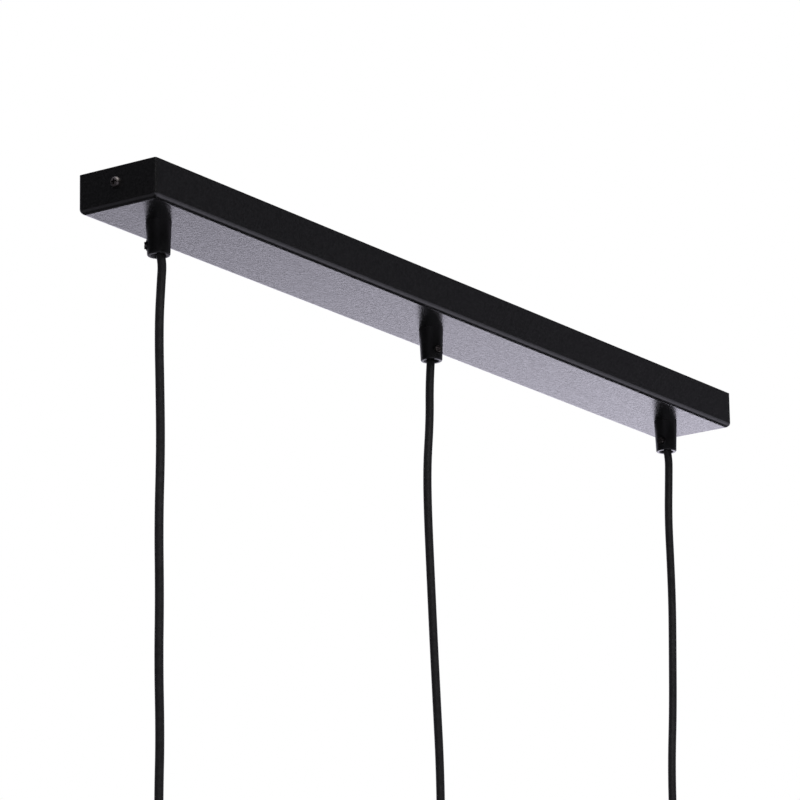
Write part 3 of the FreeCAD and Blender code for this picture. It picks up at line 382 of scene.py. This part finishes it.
# A third of the lead's round is yellow: the side that faces the back of the canopy
STRIPE_YELLOW = (0.80, 0.55, 0.02, 1)
STRIPE_EDGE = (0.45, 0.55)
earth = paint("earth_insulation", dark=(0.05, 0.22, 0.03), pale=(0.07, 0.28, 0.04),
              grain=0.004, rough=(0.3, 0.42), bump=(0.0006, 0.00002))
earth_tree = earth.node_tree
earth_place = earth_tree.nodes.new("ShaderNodeTexCoord")
earth_facing = earth_tree.nodes.new("ShaderNodeSeparateXYZ")
earth_tree.links.new(earth_place.outputs["Normal"], earth_facing.inputs["Vector"])
striped = earth_tree.nodes.new("ShaderNodeMix")
striped.data_type = "RGBA"
striped.inputs["B"].default_value = STRIPE_YELLOW
earth_tree.links.new(ranged(earth_tree, earth_facing.outputs["Y"], STRIPE_EDGE),
                     striped.inputs["Factor"])
earth_colour = earth_tree.nodes["Principled BSDF"].inputs["Base Color"]
earth_tree.links.new(earth_colour.links[0].from_socket, striped.inputs["A"])
earth_tree.links.new(striped.outputs["Result"], earth_colour)
renew(["earth_lead_bracket", "earth_lead_canopy"], "fixture", earth)


# ------------------------------------------------------------------ the canopy
# One sheet of 1.2 mm steel folded into a box that is open at the ceiling, then powder coated
# in satin black. Two black pan-head screws in its ends hold it to the ears of the bracket.

# The coat's orange peel runs through both layers, and fine pits dull the outer one in spots
PEEL = (0.0016, 0.00011)
OUTER_ROUGHNESS = 0.26
PIT_SPAN = (0.36, 0.6)
PIT_GLOSS = (0.55, 1.0)
powder = paint("black_powder_coat", dark=(0.0035, 0.0035, 0.0035), pale=(0.006, 0.006, 0.006),
               grain=0.002, rough=(0.28, 0.36), bump=PEEL)
powder_tree = powder.node_tree
powder_shader = powder_tree.nodes["Principled BSDF"]
powder_shader.inputs["Coat Roughness"].default_value = OUTER_ROUGHNESS
powder_tree.links.new(powder_shader.inputs["Normal"].links[0].from_socket,
                      powder_shader.inputs["Coat Normal"])
powder_tree.links.new(
    ranged(powder_tree, powder_tree.nodes["grit"].outputs["Fac"], PIT_SPAN, PIT_GLOSS),
    powder_shader.inputs["Coat Weight"])
renew(["canopy"], "fixture", powder)

# A screw's outline as (radius, height) from the face of the canopy's end, then its thread
END_SCREW_SHANK = ((0.0, -0.0080), (0.0014, -0.0080), (0.0019, -0.0074), (0.0019, 0.00005))
END_SCREW_HEAD = ((0.0035, 0.00005), (0.0035, 0.0009), (0.00325, 0.0017), (0.0026, 0.0024),
                  (0.0015, 0.0027), (0.0, 0.0028))
END_SCREW_HEAD_HEIGHT = 0.0028
END_SCREW_ROUNDING = 0.0001
END_SCREW_THREAD = {"radius": 0.0018, "turns": 10.0, "rise": 0.0068, "ridge": 0.00018}
END_SCREW_THREAD_FOOT = -0.0074
END_SCREW_SHARP_DEGREES = 38
# The cross recess: half length and half width of its arms, heights of its floor and of the
# cutter's top, and the share of its width that is left at the floor
RECESS_ARM = (0.0021, 0.00055)
RECESS_FLOOR = 0.0009
RECESS_TOP = 0.0030
RECESS_TAPER = 0.6


def repeat(piece, places):
    """Swap a piece's mesh for copies of it at several places."""
    work = bmesh.new()
    for place in places:
        copy = piece.data.copy()
        copy.transform(place)
        work.from_mesh(copy)
        bpy.data.meshes.remove(copy)
    work.to_mesh(piece.data)
    work.free()


black_steel = paint("black_screw", dark=(0.11, 0.10, 0.092), pale=(0.22, 0.20, 0.185),
                    grain=0.0012, rough=(0.36, 0.48), bump=(0.0004, 0.00002), metallic=1.0)
screws = turned("end_screws", [*END_SCREW_SHANK, *END_SCREW_HEAD], END_SCREW_ROUNDING, 0, 0, 0)
grow(screws, thread_tree, place=(0, 0, END_SCREW_THREAD_FOOT), finish=black_steel,
     **END_SCREW_THREAD)
recess = bmesh.new()
for across in (RECESS_ARM, RECESS_ARM[::-1]):
    for vertex in bmesh.ops.create_cube(recess, size=2)["verts"]:
        upper = vertex.co.z > 0
        narrow = 1 if upper else RECESS_TAPER
        vertex.co = Vector((vertex.co.x * across[0] * narrow, vertex.co.y * across[1] * narrow,
                            RECESS_TOP if upper else RECESS_FLOOR))
cutter = add_to_scene("cross_recess", plain_mesh("cross_recess", recess))
cross = screws.modifiers.new("cross_recess", "BOOLEAN")
cross.object = cutter
cross.solver = "EXACT"
cross.use_self = True
settle(screws)
bpy.data.objects.remove(cutter)
lowest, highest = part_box("canopy_screws")
screw_y = (lowest.y + highest.y) / 2
screw_z = (lowest.z + highest.z) / 2
end_face = highest.x - END_SCREW_HEAD_HEIGHT
repeat(screws, [
    Matrix.Translation((end_face * side, screw_y, screw_z))
    @ Matrix.Rotation(side * math.pi / 2, 4, "Y")
    for side in (-1, 1)
])
soften(screws.data, END_SCREW_SHARP_DEGREES)
finish_piece(screws, "canopy_screws", "fixture", black_steel)


# ------------------------------------------------------------------ the cord grips
# Three conical grips of moulded black nylon hang from the canopy on M10 necks, each held by a
# toothed washer and a hexagon nut inside. A small slotted screw in the side clamps the cord.

DROPS = ("left", "middle", "right")
GRIP_EDGE = 0.00015
GRIP_NUT_EDGE = 0.0004
# The parting face at the mouth is left smooth by the mould, so it is glossier than the sides
LIP_HEIGHT = 0.0003
LIP_ROUGHNESS = 0.08
grip_nylon = paint("black_nylon", dark=(0.004, 0.004, 0.004), pale=(0.006, 0.006, 0.006),
                   grain=0.003, rough=(0.34, 0.44), bump=(0.0005, 0.00002))
grip_tree = grip_nylon.node_tree
grip_place = grip_tree.nodes.new("ShaderNodeTexCoord")
grip_height = grip_tree.nodes.new("ShaderNodeSeparateXYZ")
grip_tree.links.new(grip_place.outputs["Object"], grip_height.inputs["Vector"])
mouth_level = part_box("grip_left")[0].z
on_side = ranged(grip_tree, grip_height.outputs["Z"],
                 (mouth_level + LIP_HEIGHT, mouth_level + 2 * LIP_HEIGHT))
lip_gloss = grip_tree.nodes.new("ShaderNodeMix")
lip_gloss.inputs["A"].default_value = LIP_ROUGHNESS
grip_tree.links.new(on_side, lip_gloss.inputs["Factor"])
grip_roughness = grip_tree.nodes["Principled BSDF"].inputs["Roughness"]
grip_tree.links.new(grip_roughness.links[0].from_socket, lip_gloss.inputs["B"])
grip_tree.links.new(lip_gloss.outputs["Result"], grip_roughness)
for drop in DROPS:
    renew([f"grip_{drop}"], "fixture", grip_nylon, GRIP_EDGE)
    renew([f"set_screw_{drop}"], f"clamp_{drop}", black_steel, GRIP_EDGE)
renew(["grip_nuts"], "fixture", zinc, GRIP_NUT_EDGE)

WASHER_BORE = 0.0053
WASHER_RIM = 0.0080
WASHER_THICK = 0.0008
WASHER_ROUNDING = 0.0001
WASHER_TEETH = {"radius": 0.0085, "count": 18, "rib": (0.0020, 0.0016, 0.0008)}
# From a washer's middle to the tip of a tooth
WASHER_REACH = 0.0095
lowest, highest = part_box("grip_washers")
washers = turned("toothed_washers", [
    (WASHER_BORE, 0), (WASHER_RIM, 0), (WASHER_RIM, WASHER_THICK), (WASHER_BORE, WASHER_THICK),
], WASHER_ROUNDING, 0, 0, lowest.z)
grow(washers, rib_tree, place=(0, 0, lowest.z + WASHER_THICK / 2), finish=zinc, **WASHER_TEETH)
repeat(washers, [
    Matrix.Translation((grip_x, 0, 0))
    for grip_x in (lowest.x + WASHER_REACH, 0, highest.x - WASHER_REACH)
])
finish_piece(washers, "grip_washers", "fixture", zinc)


# ------------------------------------------------------------------ the cords
# Round two-core cord, 5.8 mm across, in a satin black PVC sheath. It is clamped in its grip
# and hangs from the mouth with the slight waves that it kept from its coil.

CORD_DIAMETER = 0.0058
CORD_SIDES = 24
CORD_END_EDGE = 0.0003
# Each cord's pivot in the mouth of its grip, in metres
PIVOT = {
    "left": (-0.306570, -0.000614, -0.047),
    "middle": (0.000281, 0.000695, -0.047),
    "right": (0.307748, 0.000052, -0.047),
}
# The routes of part.py, in metres from each cord's pivot in the mouth of its grip. Points are
# moved sideways by up to 0.7 mm, toward where the photograph shows the cord, and the left and
# right cords first lean on the side of the mouth.
ROUTE = {
    "left": [
        (0, 0, 0), (0.0010, -0.0013, -0.006), (0.0010, -0.0001, -0.020),
        (-0.0008, 0.0004, -0.050), (0.0006, 0.0005, -0.096), (0.0016, 0.0010, -0.131),
        (-0.0009, 0.0007, -0.178), (-0.0004, 0.0005, -0.225), (-0.0019, 0.0002, -0.268),
        (-0.0004, 0.0003, -0.315), (-0.0015, 0.0007, -0.353), (-0.0015, 0.0007, -0.380),
    ],
    "middle": [
        (0, 0, 0), (-0.0018, 0.0003, -0.017), (-0.0020, 0.0005, -0.045),
        (-0.0053, 0.0012, -0.078), (-0.0053, 0.0012, -0.111), (-0.0043, 0.0004, -0.158),
        (-0.0033, -0.0004, -0.203), (-0.0010, -0.0004, -0.243), (0.0007, -0.0010, -0.288),
        (0.0005, -0.0009, -0.338), (0.0005, -0.0009, -0.380),
    ],
    "right": [
        (0, 0, 0), (0.0013, -0.0007, -0.006), (0.0018, 0.0, -0.019),
        (-0.0007, 0.0001, -0.053), (0.0011, 0.0005, -0.085), (0.0022, 0.0009, -0.118),
        (0.0010, 0.0011, -0.153), (-0.0006, 0.0015, -0.198), (-0.0045, 0.0017, -0.238),
        (-0.0054, 0.0015, -0.278), (-0.0062, 0.0009, -0.328), (-0.0062, 0.0008, -0.358),
        (-0.0062, 0.0008, -0.380),
    ],
}
# The NURBS line's order, and its steps between two points
ROUTE_ORDER = 3
ROUTE_STEPS = 12


def line_through(name, points):
    """Points along a smooth NURBS line that has the given points as its control points."""
    curve = bpy.data.curves.new(name, "CURVE")
    curve.dimensions = "3D"
    curve.resolution_u = ROUTE_STEPS
    spline = curve.splines.new("NURBS")
    spline.points.add(len(points) - 1)
    for control, point in zip(spline.points, points):
        control.co = (*point, 1)
    spline.order_u = ROUTE_ORDER
    spline.use_endpoint_u = True
    holder = add_to_scene(name, curve)
    line = bpy.data.meshes.new_from_object(holder)
    found = [vertex.co.copy() for vertex in line.vertices]
    bpy.data.objects.remove(holder)
    bpy.data.curves.remove(curve)
    bpy.data.meshes.remove(line)
    return found


def sheath(name, points):
    """A cord with closed ends along the points, unrolled along its length as its UV."""
    work = bmesh.new()
    layer = work.loops.layers.uv.new("along")
    rings = []
    side = Vector((1, 0, 0))
    reach = [0.0]
    for index, point in enumerate(points):
        after = points[min(index + 1, len(points) - 1)]
        before = points[max(index - 1, 0)]
        ahead = (after - before).normalized()
        side = (side - ahead * side.dot(ahead)).normalized()
        up = ahead.cross(side)
        rings.append([
            work.verts.new(point + (side * math.cos(turn) + up * math.sin(turn))
                           * (CORD_DIAMETER / 2))
            for turn in [2 * math.pi * step / CORD_SIDES for step in range(CORD_SIDES)]
        ])
        if index:
            reach.append(reach[-1] + (point - points[index - 1]).length)
    for index, (upper, lower) in enumerate(zip(rings, rings[1:])):
        for step in range(CORD_SIDES):
            nxt = (step + 1) % CORD_SIDES
            face = work.faces.new((upper[step], upper[nxt], lower[nxt], lower[step]))
            face.smooth = True
            corners = ((step, index), (step + 1, index), (step + 1, index + 1), (step, index + 1))
            for loop, (across, along) in zip(face.loops, corners):
                loop[layer].uv = (across / CORD_SIDES, reach[along])
    work.faces.new(rings[0])
    work.faces.new(rings[-1])
    return add_to_scene(name, plain_mesh(name, work))


cord_pvc = paint("black_cord", dark=(0.010, 0.0095, 0.0095), pale=(0.014, 0.0135, 0.0135),
                 grain=0.004, rough=(0.42, 0.50), bump=(0.0010, 0.000008))
renew([f"clamped_cord_{drop}" for drop in DROPS], "fixture", cord_pvc, CORD_END_EDGE)
for drop in DROPS:
    pivot = Vector(PIVOT[drop])
    line = line_through(f"route_{drop}", [pivot + Vector(step) for step in ROUTE[drop]])
    cord = sheath(f"hanging_cord_{drop}", line)
    cord.data.materials.append(cord_pvc)
    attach(cord, f"hanging_{drop}")
    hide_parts(f"cord_{drop}")
    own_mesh(cord)

brown = paint("brown_insulation", dark=(0.10, 0.04, 0.018), pale=(0.14, 0.06, 0.03),
              grain=0.004, rough=(0.3, 0.42), bump=(0.0006, 0.00002))
blue = paint("blue_insulation", dark=(0.02, 0.09, 0.34), pale=(0.03, 0.12, 0.42),
             grain=0.004, rough=(0.3, 0.42), bump=(0.0006, 0.00002))
renew(["brown_cores"], "fixture", brown)
renew(["blue_cores"], "fixture", blue)
for drop in DROPS:
    renew([f"holder_brown_core_{drop}"], f"lampholder_{drop}", brown)
    renew([f"holder_blue_core_{drop}"], f"lampholder_{drop}", blue)


# ------------------------------------------------------------------ the lampholders
# An E27 holder of black bakelite ends each cord. Its ribbed cap has a screw for the cord, and
# its shell holds a ceramic insert with brass contacts. Both threads are moulded in the shell.

# The shell's section as (radius, height) from its rim, then its outer and its inner thread
SHELL_HEIGHT = 0.036
SHELL_THREAD_ROOT = 0.0190
SHOULDER_RADIUS = 0.0215
SOCKET_RADIUS = 0.0133
SHELL_SECTION = (
    (SOCKET_RADIUS, 0), (SHELL_THREAD_ROOT, 0), (SHELL_THREAD_ROOT, 0.0280),
    (SHOULDER_RADIUS, 0.0280), (SHOULDER_RADIUS, SHELL_HEIGHT), (0.0175, SHELL_HEIGHT),
    (0.0175, 0.0300), (0.0144, 0.0300), (0.0144, 0.0220), (SOCKET_RADIUS, 0.0220),
)
SHELL_ROUNDING = 0.0006
SHELL_THREAD = {"radius": SHELL_THREAD_ROOT, "turns": 9.5, "rise": 0.0238, "ridge": 0.00055}
SHELL_THREAD_FOOT = 0.0020
SOCKET_THREAD = {"radius": SOCKET_RADIUS, "turns": 5.2, "rise": 0.0188, "ridge": 0.0009}
SOCKET_THREAD_FOOT = 0.0018
# The cap's section from its foot on the shell, then its ribs
CAP_HEIGHT = 0.022
CAP_WALL_RADIUS = 0.0195
CAP_NECK_RADIUS = 0.0085
CAP_BORE = 0.0031
CAP_SECTION = (
    (CAP_WALL_RADIUS, 0), (SHOULDER_RADIUS, 0), (SHOULDER_RADIUS, 0.0080), (0.0208, 0.0112),
    (0.0182, 0.0136), (0.0130, 0.0150), (0.0094, 0.0160), (CAP_NECK_RADIUS, 0.0172),
    (CAP_NECK_RADIUS, CAP_HEIGHT), (CAP_BORE, CAP_HEIGHT), (CAP_BORE, 0.0160),
    (CAP_NECK_RADIUS, 0.0140), (0.0135, 0.0120), (CAP_WALL_RADIUS, 0.0080),
)
CAP_ROUNDING = 0.0008
CAP_RIBS = {"radius": SHOULDER_RADIUS, "count": 48, "rib": (0.0007, 0.0011, 0.0062)}
CAP_RIBS_MIDDLE = 0.0041
# The shade ring's section from its foot, then its ribs
RING_BORE = 0.01965
RING_RADIUS = 0.0220
RING_FLANGE_RADIUS = 0.0260
RING_SECTION = (
    (RING_BORE, 0), (RING_RADIUS, 0), (RING_RADIUS, 0.0050), (RING_FLANGE_RADIUS, 0.0050),
    (RING_FLANGE_RADIUS, 0.0070), (RING_BORE, 0.0070),
)
RING_ROUNDING = 0.0005
RING_RIBS = {"radius": RING_RADIUS, "count": 40, "rib": (0.0010, 0.0014, 0.0044)}
RING_RIBS_MIDDLE = 0.0027
INSERT_EDGE = 0.0004
CONTACT_EDGE = 0.00005
CORD_SCREW_EDGE = 0.00015
bakelite = paint("black_bakelite", dark=(0.006, 0.006, 0.006), pale=(0.010, 0.009, 0.009),
                 grain=0.004, rough=(0.16, 0.26), bump=(0.0012, 0.00002))
ceramic = paint("white_ceramic", dark=(0.70, 0.69, 0.65), pale=(0.80, 0.79, 0.75),
                grain=0.003, rough=(0.18, 0.3), bump=(0.0006, 0.00002))
for drop in DROPS:
    holder = f"lampholder_{drop}"
    lowest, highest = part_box(f"holder_shell_{drop}")
    x = (lowest.x + highest.x) / 2
    y = (lowest.y + highest.y) / 2
    rim = lowest.z
    shell = turned(f"lampholder_shell_{drop}", SHELL_SECTION, SHELL_ROUNDING, x, y, rim)
    grow(shell, thread_tree, place=(x, y, rim + SHELL_THREAD_FOOT), finish=bakelite,
         **SHELL_THREAD)
    grow(shell, thread_tree, place=(x, y, rim + SOCKET_THREAD_FOOT), finish=bakelite,
         **SOCKET_THREAD)
    finish_piece(shell, f"holder_shell_{drop}", holder, bakelite)

    foot = rim + SHELL_HEIGHT
    cap = turned(f"lampholder_cap_{drop}", CAP_SECTION, CAP_ROUNDING, x, y, foot)
    grow(cap, rib_tree, place=(x, y, foot + CAP_RIBS_MIDDLE), finish=bakelite, **CAP_RIBS)
    finish_piece(cap, f"holder_cap_{drop}", holder, bakelite)

    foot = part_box(f"shade_ring_{drop}")[0].z
    ring = turned(f"clamp_ring_{drop}", RING_SECTION, RING_ROUNDING, x, y, foot)
    grow(ring, rib_tree, place=(x, y, foot + RING_RIBS_MIDDLE), finish=bakelite, **RING_RIBS)
    finish_piece(ring, f"shade_ring_{drop}", f"collar_{drop}", bakelite)
    renew([f"holder_insert_{drop}"], holder, ceramic, INSERT_EDGE)
    renew([f"centre_contact_{drop}", f"side_contact_{drop}"], holder, brass, CONTACT_EDGE)
    renew([f"holder_screws_{drop}"], holder, brass, SMALL_METAL_EDGE)
    renew([f"holder_cord_screw_{drop}"], holder, black_steel, CORD_SCREW_EDGE)


# ------------------------------------------------------------------ the studio
# A plain pale floor lies well below the pendant. What gloss sees is a white sweep behind and
# right of the pendant, dark walls at its front and left, and a pale diffuser overhead.

FLOOR_Z = -1.2
FLOOR_REACH = 14.0
FLOOR_GREY = (0.82, 0.82, 0.83, 1)
FLOOR_ROUGHNESS = 0.8
# The camera sees the floor paler than its light alone makes it, with the shadows kept
FLOOR_PALENESS = 0.45
SWEEP_WHITE = (0.88, 0.85, 1.0)
PURE_WHITE = (1, 1, 1)
PLAIN_ROOM_GREY = (0.36, 0.36, 0.37)
# What gloss sees of the floor, as (span in metres, levels at its two ends). Behind the
# pendant it starts with a bright strip, settles to an even glow and grows to the right. In
# front it fades with distance, and at the left it is dim.
BACK_FROM_LEFT = ((-1.0, 2.2), (0.3, 1.0))
BACK_TO_RIGHT = ((2.85, 3.98), (0.39, 2.2))
BACK_STARTS = ((0.95, 1.5), (0.0, 1.0))
BACK_SETTLES = ((1.5, 2.2), (1.35, 1.0))
FRONT_ENDS = ((-1.0, -0.3), (0.75, 0.0))
FRONT_FADES = ((-6.0, -1.0), (0.35, 1.0))
LEFT_ENDS = ((-1.4, -0.6), (0.2, 0.02))
# What gloss sees of the room, as (span of a direction's share, levels at its two ends)
DARK_WALL = 0.015
SWEEP_SIDE = (0.7071, 0.7071, 0)
SWEEP_STARTS = ((0.45, 0.95), (DARK_WALL, 1.0))
DIFFUSER_STARTS = ((0.46, 0.72), (DARK_WALL, 0.8))
WALL_FOOT_ENDS = ((0.0, 0.24), (1, 0.08))
WALL_FOOT_STARTS = ((0.3, 0.9), (0.05, 0.6))


def eased(tree, source, step):
    """A soft step, given as (span, levels)."""
    return ranged(tree, source, *step, kind="SMOOTHSTEP")


def combined(tree, operation, first, *others):
    """Values in one product, or the largest of them; all but the first may be numbers."""
    for other in others:
        step = tree.nodes.new("ShaderNodeMath")
        step.operation = operation
        tree.links.new(first, step.inputs[0])
        if isinstance(other, float):
            step.inputs[1].default_value = other
        else:
            tree.links.new(other, step.inputs[1])
        first = step.outputs["Value"]
    return first


def shining(tree, kind, colour, strength=None):
    """Light of one colour, at a strength that other nodes give, or else at 1."""
    light = add_node(tree, kind, Color=(*colour, 1))
    if strength is not None:
        tree.links.new(strength, light.inputs["Strength"])
    return light.outputs[0]


def mixed(tree, share, first, second):
    """The first shader where the share is 0, and the second where it is 1."""
    mix = tree.nodes.new("ShaderNodeMixShader")
    for socket, source in zip(mix.inputs, (share, first, second)):
        tree.links.new(source, socket)
    return mix.outputs["Shader"]


floor_mesh = bpy.data.meshes.new("studio_floor")
floor_mesh.from_pydata([(x * FLOOR_REACH, y * FLOOR_REACH, FLOOR_Z)
                        for x, y in ((-1, -1), (1, -1), (1, 1), (-1, 1))], [], [(0, 1, 2, 3)])
floor = add_to_scene("studio_floor", floor_mesh)
floor_paint = bpy.data.materials.new("studio_floor_paint")
floor_paint.use_nodes = True
floor_tree = floor_paint.node_tree
floor_shader = floor_tree.nodes["Principled BSDF"]
floor_shader.inputs["Base Color"].default_value = FLOOR_GREY
floor_shader.inputs["Roughness"].default_value = FLOOR_ROUGHNESS
floor_place = floor_tree.nodes.new("ShaderNodeTexCoord")
floor_sides = floor_tree.nodes.new("ShaderNodeSeparateXYZ")
floor_tree.links.new(floor_place.outputs["Object"], floor_sides.inputs["Vector"])
right_of = floor_sides.outputs["X"]
behind = floor_sides.outputs["Y"]
back_across = combined(floor_tree, "MULTIPLY", eased(floor_tree, right_of, BACK_FROM_LEFT),
                       eased(floor_tree, right_of, BACK_TO_RIGHT))
back_deep = combined(floor_tree, "MULTIPLY", eased(floor_tree, behind, BACK_STARTS),
                     eased(floor_tree, behind, BACK_SETTLES))
back_glow = combined(floor_tree, "MULTIPLY", back_across, back_deep)
front_glow = combined(floor_tree, "MULTIPLY", eased(floor_tree, behind, FRONT_ENDS),
                      eased(floor_tree, behind, FRONT_FADES))
left_glow = eased(floor_tree, right_of, LEFT_ENDS)
floor_glow = shining(floor_tree, "ShaderNodeEmission", SWEEP_WHITE,
                     combined(floor_tree, "MAXIMUM", back_glow, front_glow, left_glow))
floor_ray = floor_tree.nodes.new("ShaderNodeLightPath")
floor_pale = shining(floor_tree, "ShaderNodeEmission", PURE_WHITE,
                     combined(floor_tree, "MULTIPLY", floor_ray.outputs["Is Camera Ray"],
                              FLOOR_PALENESS))
floor_seen = floor_tree.nodes.new("ShaderNodeAddShader")
floor_tree.links.new(floor_shader.outputs["BSDF"], floor_seen.inputs[0])
floor_tree.links.new(floor_pale, floor_seen.inputs[1])
floor_top = mixed(floor_tree, floor_ray.outputs["Is Glossy Ray"], floor_seen.outputs["Shader"],
                  floor_glow)
# From below, the floor lets the view through
floor_side = floor_tree.nodes.new("ShaderNodeNewGeometry")
floor_clear = floor_tree.nodes.new("ShaderNodeBsdfTransparent")
floor_sheet = mixed(floor_tree, floor_side.outputs["Backfacing"], floor_top,
                    floor_clear.outputs["BSDF"])
floor_tree.links.new(floor_sheet, floor_tree.nodes["Material Output"].inputs["Surface"])
floor_mesh.materials.append(floor_paint)

world = bpy.data.worlds.new("studio_room")
bpy.context.scene.world = world
world.use_nodes = True
room = world.node_tree
room.nodes.clear()
room_output = room.nodes.new("ShaderNodeOutputWorld")
direction = room.nodes.new("ShaderNodeTexCoord").outputs["Generated"]
toward = room.nodes.new("ShaderNodeSeparateXYZ")
room.links.new(direction, toward.inputs["Vector"])
toward_sweep = room.nodes.new("ShaderNodeVectorMath")
toward_sweep.operation = "DOT_PRODUCT"
toward_sweep.inputs[1].default_value = SWEEP_SIDE
room.links.new(direction, toward_sweep.inputs[0])
sweep = eased(room, toward_sweep.outputs["Value"], SWEEP_STARTS)
diffuser = eased(room, toward.outputs["Z"], DIFFUSER_STARTS)
# The foot of the right wall catches light from the sweep
wall_foot = combined(room, "MULTIPLY", eased(room, toward.outputs["Z"], WALL_FOOT_ENDS),
                     eased(room, toward.outputs["X"], WALL_FOOT_STARTS))
gloss_room = shining(room, "ShaderNodeBackground", SWEEP_WHITE,
                     combined(room, "MAXIMUM", sweep, diffuser, wall_foot))
plain_room = shining(room, "ShaderNodeBackground", PLAIN_ROOM_GREY)
white_room = shining(room, "ShaderNodeBackground", PURE_WHITE)
room_ray = room.nodes.new("ShaderNodeLightPath")
lit_room = mixed(room, room_ray.outputs["Is Glossy Ray"], plain_room, gloss_room)
seen_room = mixed(room, room_ray.outputs["Is Camera Ray"], lit_room, white_room)
room.links.new(seen_room, room_output.inputs["Surface"])

SOFTBOX_SIZE = 2.5
SOFTBOX_ENERGY = 45
SOFTBOX_PLACE = (-0.6, -1.2, 2.2)
SOFTBOX_AIM = (0, 0, -0.2)
softbox_data = bpy.data.lights.new("overhead_softbox", "AREA")
softbox_data.shape = "RECTANGLE"
softbox_data.size = SOFTBOX_SIZE
softbox_data.size_y = SOFTBOX_SIZE
softbox_data.energy = SOFTBOX_ENERGY
softbox = add_to_scene("overhead_softbox", softbox_data)
softbox.location = SOFTBOX_PLACE
softbox.rotation_euler = (Vector(SOFTBOX_AIM) - softbox.location).to_track_quat(
    "-Z", "Y").to_euler()

bpy.context.scene.view_settings.view_transform = "Standard"
